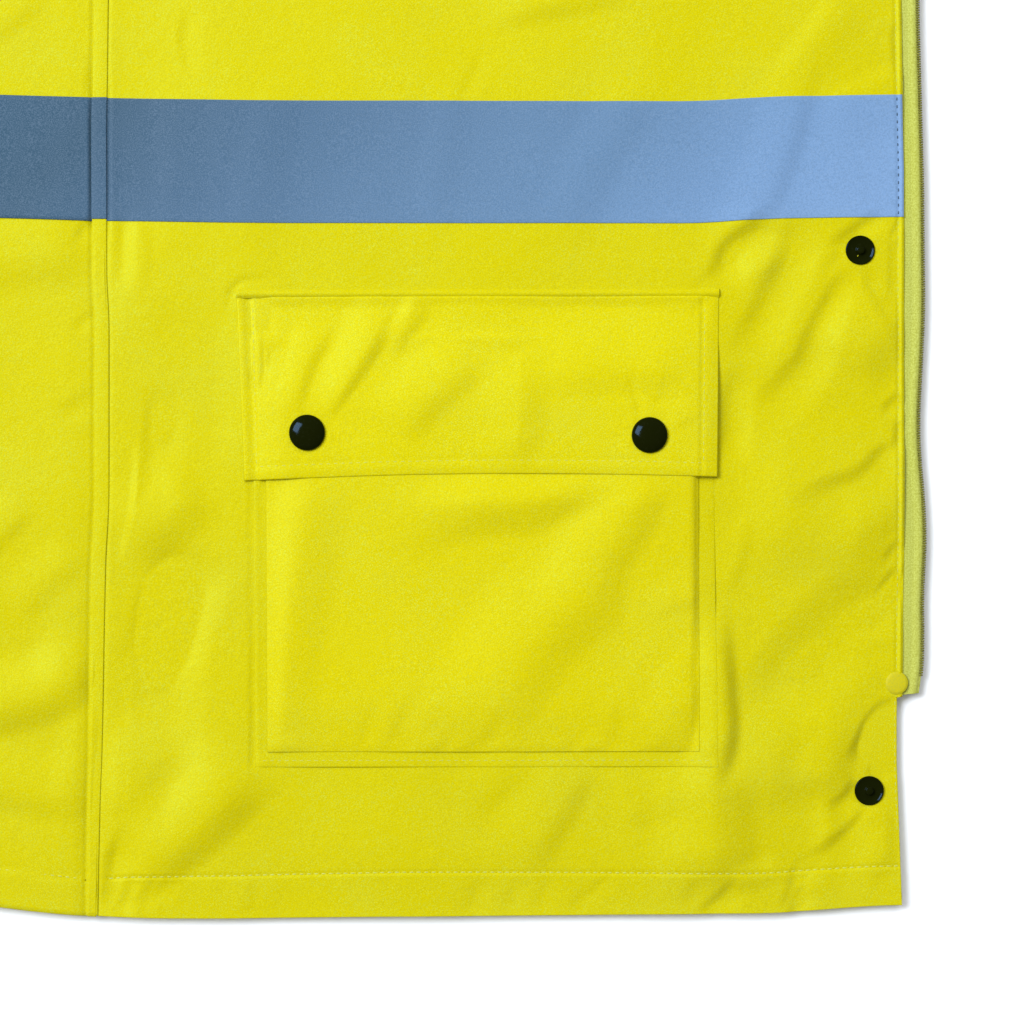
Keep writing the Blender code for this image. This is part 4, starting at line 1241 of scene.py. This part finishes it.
def sleeve_rings(name, grow, shares):
    """Rings round a sleeve, [along][round]: its inner edge, its top, its outer edge and its underside.

    shares says how far down the sleeve each line across is cut. grow moves the rings out from the cloth.
    """
    grid = sleeve_plan(name)
    steps = line(0, 1, SLEEVE_STEPS)
    columns = [[np.interp(shares[:, k], steps, grid[:, k, c]) for c in (0, 1)] for k in range(grid.shape[1])]
    plan = np.array(columns).transpose(2, 0, 1)
    lower = read(SLEEVE_RISE, shares, 1, spread=0.05)
    upper = read(SLEEVE_RISE, shares, 2, spread=0.05)
    lies_low = name == "sleeve_left"
    half = (lower if lies_low else upper) / 2
    middle = half if lies_low else lower + GAP + half
    radius = half + grow
    ease = np.minimum(np.arange(ACROSS_STEPS + 1), np.arange(ACROSS_STEPS, -1, -1)) / 8
    relief = 0.0 if lies_low else folds(plan, SLEEVE_FOLDS) * smooth(ease)
    seam_column = ACROSS_STEPS * (0.5 - 0.12 * shares)
    relief = relief + groove(np.arange(ACROSS_STEPS + 1) - seam_column, 0.8, 0.5)
    ring = []
    for end, next_in, side in ((0, 1, 1), (-1, -2, -1)):
        out = unit(plan[:, end] - plan[:, next_in])
        centre = plan[:, end] - out * half[:, end, None]
        for turn in side * EDGE_TURNS:
            place = centre + out * (radius[:, end, None] * math.cos(turn))
            ring.append(raised(place, middle[:, end] + radius[:, end] * math.sin(turn)))
        for k in range(2, ACROSS_STEPS - 1)[::side]:
            lift = relief[:, k] if side == 1 else 0.0
            ring.append(raised(plan[:, k], middle[:, k] + side * radius[:, k] + lift))
    return np.stack(ring, axis=1)


def sleeve(name):
    """A flattened tube of cloth, open at the cuff, with its wall turned in at both ends."""
    shares = np.repeat(line(0, 1, SLEEVE_STEPS)[:, None], ACROSS_STEPS + 1, axis=1)
    outer, inner = sleeve_rings(name, -0.05, shares), sleeve_rings(name, -0.95, shares)
    piece = Piece()
    over, under = piece.add(outer), piece.add(inner)
    piece.skin(over, closed=True, flip=True)
    piece.skin(under, closed=True)
    for end, flip in ((0, True), (-1, False)):
        piece.skin(np.stack([over[end], under[end]]), closed=True, flip=not flip)
    return piece


sleeves = {name: sleeve(name).make(name + "_cloth", yellow, "yellow_cloth", [name]) for name in SLEEVES}

TOP_HALF = slice(4, ACROSS_STEPS + 12)
OUTER_EDGE = slice(ACROSS_STEPS + 6, ACROSS_STEPS + 12)


def straight_cut(grid, from_cuff):
    """How far down each line along a sleeve a straight cut crosses it, at one distance from the cuff."""
    steps = line(0, 1, SLEEVE_STEPS)
    inner, outer = (
        np.array([np.interp(1 - from_cuff / length, steps, grid[:, k, c]) for c in (0, 1)])
        for k, length in zip((0, -1), SLEEVE_EDGES)
    )
    across = unit(outer - inner)
    away = grid - inner
    past = across[0] * away[..., 1] - across[1] * away[..., 0]
    return np.array([np.interp(0.0, column, steps) for column in past.T])


def sleeve_band(name, ends):
    """Tape straight across the sleeve, over its top or round its outer edge."""
    part = TOP_HALF if name == "sleeve_right" else OUTER_EDGE
    grid = sleeve_plan(name)
    shares = np.stack([straight_cut(grid, from_cuff) for from_cuff in line(ends[1], ends[0], 14)])
    outer, inner = (sleeve_rings(name, grow, shares)[:, part] for grow in (0.8, 0.3))
    return wall(outer, inner, bulge=0.15, flip=True)


sleeve_bands = {
    f"band_{name}_{place}": sleeve_band(name, ends).make(
        f"tape_{name}_{place}", silver, "silver_band", [f"band_{name}_{place}"]
    )
    for name in SLEEVES
    for place, ends in SLEEVE_BANDS.items()
}


# Bands round the body


def band_plan(left, right, columns, rise):
    """[across][up] between two upright lines, following the tape's two edges."""
    shares = close_at_ends(columns)[:, None]
    height = BAND_MIDDLE + rise
    across = (left(height) + shares * (right(height) - left(height)))[:, 0]
    low, high = (read(BAND_LOW, across, k, spread=9) + rise for k in (1, 2))
    up = low[:, None] + line(0, 1, 30) * (high - low)[:, None]
    return np.stack([left(up) + shares * (right(up) - left(up)), up], axis=-1)


BAND_TURNS = np.linspace(math.pi / 2, 0, 7)[:-1]


def band_back(rise):
    """Tape on the back, on round the side fold to its middle."""
    plan = band_plan(lambda up: side_fold_at(up) + FOLD_RADIUS, lambda up: lap_at(up) + 0.5, 40, rise)
    z = back_height(plan)
    sides = []
    for lift in (0.55, 0.15):
        round_fold = roll(plan[0], BAND_TURNS, lambda turn: z[0] - FOLD_MIDDLE + lift)
        sides.append(np.concatenate([round_fold, raised(plan, z + lift)]))
    return wall(*sides, bulge=0.15)


def tape_on_front(plan):
    """The tape lies on the front and follows its folds."""
    return front_height(plan) + 0.4


def tape_on_seam(plan):
    """The tape lies on the lapped side seam and follows it."""
    return strip_height(plan) + 0.45


bands = {}
for place, (rise, _) in BANDS.items():
    front_tape = band_plan(lambda up: seam_at(up) + 0.3, lambda up: edge_at(up) - 0.35, 220, rise)
    seam_tape = strip_plan(280.5 + rise, 330.2 + rise, left=0.2, right=0.85, across=10, rows=30)
    made = {
        "front": shell(front_tape, tape_on_front, radius=0.2, foot=PANEL_TOP - 0.4),
        "seam": shell(seam_tape, tape_on_seam, radius=0.25, foot=PANEL_TOP - 0.4),
        "back": band_back(rise),
    }
    for part, piece in made.items():
        name = f"band_{place}_{part}"
        bands[name] = piece.make(f"tape_{place}_{part}", silver, "silver_band", [name])


# Pocket


UNDER_FACE = 7.0          # how far the strip round the pocket runs on under its face


def gusset_plan():
    """[down the side, along the bottom and up the front][outer edge to where it runs under the face]"""
    outer = np.array([row[:2] for row in POCKET])
    inner = np.array([row[2:] for row in POCKET]) + UNDER_FACE * np.array([(1, 0), (1, 1), (-1, 1), (-1, 0)])
    counts = (60, 70, 60)
    lines = [
        np.concatenate([line(a, b, n)[:-1] for a, b, n in zip(side[:-1], side[1:], counts)] + [side[-1:]])
        for side in (outer, inner)
    ]
    return lines[0][:, None] + line(0, 1, 6)[None, :, None] * (lines[1] - lines[0])[:, None]


def face_plan():
    """[side to front][foot to top]: even steps between the four straight edges of the face."""
    corners = np.array([row[2:] for row in POCKET])
    low, high = line(corners[1], corners[2], 120), line(corners[0], corners[3], 120)
    return patch(low, high, line(low[0], high[0], 110), line(low[-1], high[-1], 110))


def flap_plan():
    """[side to front][lower edge to seam]: even steps from the bowed lower edge to the straight seam."""
    across = line(FLAP_LOW_SIDE[0], FLAP_LOW_FRONT[0], 260)
    low = np.stack([across, flap_low(across)], axis=1)
    high = line(*FLAP_SEAM, 260)
    return patch(low, high, line(low[0], high[0], 60), line(low[-1], high[-1], 60))


def ridge_plan():
    """[side to front][below to above] the seam that holds the flap"""
    foot = line(*FLAP_SEAM, 120)
    return foot[:, None] + line(-0.7, 2.9, 10)[None, :, None] * np.array([0.0, 1.0])


def ridge_height(plan):
    """A rounded ridge over the front: 1 − x², x being the distance from its middle over half its width."""
    across = np.clip((plan[..., 1] - read(FLAP_SEAM, plan[..., 0]) - 1.0) / 1.9, -1, 1)
    return np.maximum(FRONT_LEVEL + 0.75, front_height(plan) + 0.1) + 1.05 * (1 - across**2)


gusset = shell(gusset_plan(), gusset_height, radius=0.45, foot=PANEL_TOP - 0.3)
gusset = gusset.make("pocket_edge_strip", yellow, "yellow_cloth", ["pocket_gusset"])
# The face and the flap take the lighter copies of the cloth: painted light
face = shell(face_plan(), face_height, radius=0.35, foot=PANEL_TOP + 0.6, closed=True)
face = face.make("pocket_front", face_yellow_painted_light, "yellow_cloth", ["pocket_face"])
flap = shell(flap_plan(), flap_height, radius=0.7, foot=PANEL_TOP + 0.3, tuck=0.8)
flap = flap.make("pocket_lid", flap_yellow_painted_light, "yellow_cloth", ["pocket_flap"])
ridge = shell(ridge_plan(), ridge_height, radius=0.2, foot=PANEL_TOP - 0.3)
ridge = ridge.make("flap_seam_ridge", yellow, "yellow_cloth", ["flap_seam"])


# Snaps and rivet


def circle(steps):
    """Points round a circle of radius 1."""
    angles = np.linspace(0, 2 * math.pi, steps, endpoint=False)
    return np.stack([np.cos(angles), np.sin(angles)], axis=1)


def turned(radius, profile, centre, base):
    """A form turned about an upright axis: shares of its radius, and heights from the base up."""
    rim = radius * circle(48)
    piece = Piece()
    ids = piece.add(np.stack([raised(np.array(centre) + share * rim, base + up) for share, up in profile]))
    piece.skin(ids, closed=True, flip=True)
    piece.cap(ids[0], flip=True)
    piece.cap(ids[-1])
    return piece


def dome(share, rise, start, steps=12):
    """Shares of the radius, and heights, up a dome: an ellipse over the height where it starts."""
    turns = np.linspace(0, math.pi / 2, steps + 1)[:-1]
    sides = [(share * math.cos(turn), start + (rise - start) * math.sin(turn)) for turn in turns]
    return [*sides, (0.02 * share, rise)]


CAP_FORM = [(0.9, 0.0), (0.98, 0.25), (1, 0.6), *dome(1, 3.4, 0.9)]
STUD_FORM = [
    # a rim, a shallow dish and a post in its middle
    (0.93, 0.0), (0.99, 0.2), (1, 0.5), (0.99, 0.85), (0.96, 1.0), (0.93, 1.02), (0.88, 0.87),
    (0.82, 0.73), (0.74, 0.59), (0.62, 0.47), (0.45, 0.42), (0.3, 0.42), (0.27, 0.55), (0.26, 1.9),
    (0.22, 2.05), (0.02, 2.08),
]
RIVET_FORM = [(0.95, 0.0), (1, 0.2), (0.99, 0.35), (0.93, 0.5), *dome(0.86, 0.85, 0.55)]

for name, centre in CAPS.items():
    base = float(flap_height(np.array(centre))) - 0.3
    turned(CAP_RADIUS, CAP_FORM, centre, base).make(name + "_dome", black, "black_snap", [name])

for number, centre in enumerate(STUDS, 1):
    under_rim = np.array(centre) + 0.85 * STUD_RADIUS * circle(16)
    stud = turned(STUD_RADIUS, STUD_FORM, centre, float(front_height(under_rim).max()) - 0.45)
    stud.make(f"snap_stud_{number}", black, "black_snap", [f"stud_{number}"])

head = turned(RIVET_RADIUS, RIVET_FORM, RIVET, PANEL_TOP - 0.3)
head.make("rivet_head", rivet_yellow, "yellow_rivet", ["zip_rivet"])


# Zip


UNDER_EDGE = -6.8         # where the tape ends beneath the front
TAPE_COLUMNS, TAPE_ROWS = 26, 560


def tape_plan():
    """[under the front edge to the teeth][up], its lower end cut a little askew"""
    up = line(ZIP_END, ZIP_TOP, TAPE_ROWS)
    share = line(0, 1, TAPE_COLUMNS)[:, None]
    across = UNDER_EDGE + share * (zip_edge_at(up) - 0.6 - UNDER_EDGE)
    plan = np.stack([across, np.broadcast_to(up, across.shape)], axis=-1)
    plan[:, 0, 1] += 1.6 * share[:, 0] - 1.0
    return plan


def tape_height(plan):
    """The tape, with a rib beside the teeth: 1 − x² to the power 0.7, x being how far from its middle."""
    across = plan[..., 0] - zip_edge_at(plan[..., 1])
    rib = np.clip((across + 2.9) / 1.7, -1, 1)
    return CORE_TOP + 0.45 + 0.95 * (1 - rib**2) ** 0.7


tape = shell(tape_plan(), tape_height, radius=0.25, foot=CORE_TOP - 0.7)
tape = tape.make("zip_tape_right", tape_green, "zip_tape", ["zip_tape"])


TOOTH_FORM = [
    # in from the teeth's edge, height, radius
    (2.0, 4.9, 0.28), (1.4, 5.1, 0.34), (0.8, 5.15, 0.36), (0.35, 5.1, 0.42), (0.0, 4.9, 0.24),
]


def teeth():
    """Every tooth is a short bent rod that comes out of the tape and ends in a rounded head."""
    up = np.arange(COIL_END, ZIP_TOP, TOOTH_PITCH)
    rings = []
    for inset, height, radius in TOOTH_FORM:
        centre = np.stack([zip_edge_at(up) - inset, up, np.full_like(up, height)], axis=1)
        rings.append(centre[:, None] + radius * np.pad(circle(SIDES), ((0, 0), (1, 0))))
    piece = Piece()
    piece.many(np.stack(rings, axis=1).reshape(len(up), -1, 3), rod_faces(len(TOOTH_FORM)))
    return piece


teeth().make("zip_teeth_right", coil_olive, "zip_coil", ["zip_coil"])


# Stitches


def along_hem(start, end, steps):
    """Points along the hem's stitches, between two places across."""
    across = line(start, end, steps)
    return np.stack([across, hem_stitch_at(across)], axis=1)


sewn("hem_stitches", along_hem(-325.0, -1.0, 160), front_height)
sewn("back_hem_stitches", along_hem(-383.0, -336.5, 30), back_height)
sewn("seam_hem_stitches", np.array([(-334.2, 10.3), (-329.0, 10.6)]), strip_height)

EDGE_ROWS = {
    # name: (lower end, upper end, in from the edge)
    "foot": (30, 84, 0.9), "low": (87, 280.5, EDGE_SEAM_IN), "middle": (332.5, 424.5, EDGE_SEAM_IN),
    "high": (476.5, 740, EDGE_SEAM_IN),
}
BAND_EDGE_ROW = (281.5, 331.0, EDGE_SEAM_IN)
PLAIN_WIDTH = 0.4         # of stitches outside the view


def beside_edge(low, high, inset):
    """Points up the front edge, between two heights and some way in from it."""
    up = line(low, high, 200)
    return np.stack([edge_at(up) - inset, up], axis=1)


for name, row in EDGE_ROWS.items():
    stitches("edge_stitches_" + name, beside_edge(*row), front_height, width=0.3)
for name, (rise, _) in BANDS.items():
    low, high, inset = BAND_EDGE_ROW
    path = beside_edge(low + rise, high + rise, inset)
    stitches("edge_stitches_band_" + name, path, tape_on_front, thread_blue, length=0.5, width=0.7)

stitches("armhole_stitches", beside(armhole()[29:], -3.0), front_height, width=PLAIN_WIDTH)
stitches("collar_stitches", beside(collar_top(), 3.5)[1:-1], collar_height, width=PLAIN_WIDTH)


CUFF_HEM = 16.0
CUFF_TOP = slice(9, ACROSS_STEPS + 6)


def cuff_row(name):
    """Points over the top of a sleeve, a hem's width from its cuff."""
    return sleeve_rings(name, 0.0, straight_cut(sleeve_plan(name), CUFF_HEM)[None])[0, CUFF_TOP]


for name in SLEEVES:
    row = cuff_row(name)
    stitches(
        "cuff_stitches_" + name, row[:, :2], lambda plan: np.interp(plan[:, 1], row[:, 1], row[:, 2]),
        width=PLAIN_WIDTH,
    )


def flap_side(low, high):
    """Up the flap from its lower seam, between two places across."""
    return line((low, flap_low(low) + FLAP_SEAM_UP), (high, 244.5), 40)


def flap_bottom():
    """Points along the flap's lower seam, which bows with the edge below it."""
    across = line(-263.0, -81.5, 60)
    return np.stack([across, flap_low(across) + FLAP_SEAM_UP - 0.4], axis=1)


POCKET_ROWS = {
    "flap_stitches_side": (flap_side(-263.6, -265.3), flap_height),
    "flap_stitches_front": (flap_side(-81.5, -80.8), flap_height),
    "flap_stitches_low": (flap_bottom(), flap_height),
    "pocket_stitches_low": (line((-262.0, 59.2), (-78.5, 59.4), 80), gusset_height),
}
for name, (path, height) in POCKET_ROWS.items():
    stitches(name, path, height, width=0.28)


# Each band's tape over the side seam, looked up; nothing more is done with it


for place, (_, on_back) in BANDS.items():
    seam_tape = bands[f"band_{place}_seam"]


# Floor, light and camera


def lit_floor():
    """A plain pale floor with hardly any gloss."""
    floor = Finish("floor")
    return floor.done(
        Base_Color=(0.875, 0.92, 1.0, 1.0),
        Roughness=0.9,
        Specular_IOR_Level=0.1,
    )


bpy.ops.mesh.primitive_plane_add(size=12.0)
floor = bpy.context.object
floor.name = "floor"
floor.data.materials.append(lit_floor())


VIEW_PLAN = np.array([-159.5, 160.7, PANEL_TOP])    # the middle of what the camera sees
FRAME_WIDTH = 0.4186                                # and its width, in metres
KEY_AWAY = Vector((-0.88, 0.46, 1.25)).normalized() * 5.0
FILL_AWAY = Vector((0.1, 1.5, 1.6))
ROOM_COLOUR = (1.0, 0.94, 0.84, 1.0)
ROOM_STRENGTH = 0.45
LENS, SENSOR = 100.0, 36.0

view_centre = Vector(((VIEW_PLAN + origin) * MM).tolist())


def light(name, away, size, power, tint):
    """A square lamp that faces the middle of the view from some way off."""
    lamp = bpy.data.lights.new(name, "AREA")
    lamp.size = size
    lamp.energy = power
    lamp.color = tint
    made = bpy.data.objects.new(name, lamp)
    bpy.context.collection.objects.link(made)
    made.location = view_centre + away
    made.rotation_euler = (-away).to_track_quat("-Z", "Y").to_euler()
    return made


light("key", KEY_AWAY, size=2.3, power=275.0, tint=(1.0, 1.01, 1.03))
fill = light("fill", FILL_AWAY, size=1.5, power=20.0, tint=(1.0, 1.0, 1.0))
fill.visible_glossy = False

world = bpy.data.worlds.new("room")
bpy.context.scene.world = world
world.use_nodes = True
background = world.node_tree.nodes["Background"].inputs
background["Color"].default_value = ROOM_COLOUR
background["Strength"].default_value = ROOM_STRENGTH
world.cycles_visibility.glossy = False

lens = bpy.data.cameras.new("camera")
lens.lens = LENS
lens.sensor_width = SENSOR
lens.clip_start = 0.01
camera = bpy.data.objects.new("camera", lens)
bpy.context.collection.objects.link(camera)
camera.location = view_centre + Vector((0.0, 0.0, FRAME_WIDTH * LENS / SENSOR))
bpy.context.scene.camera = camera
bpy.context.scene.view_settings.view_transform = "Standard"
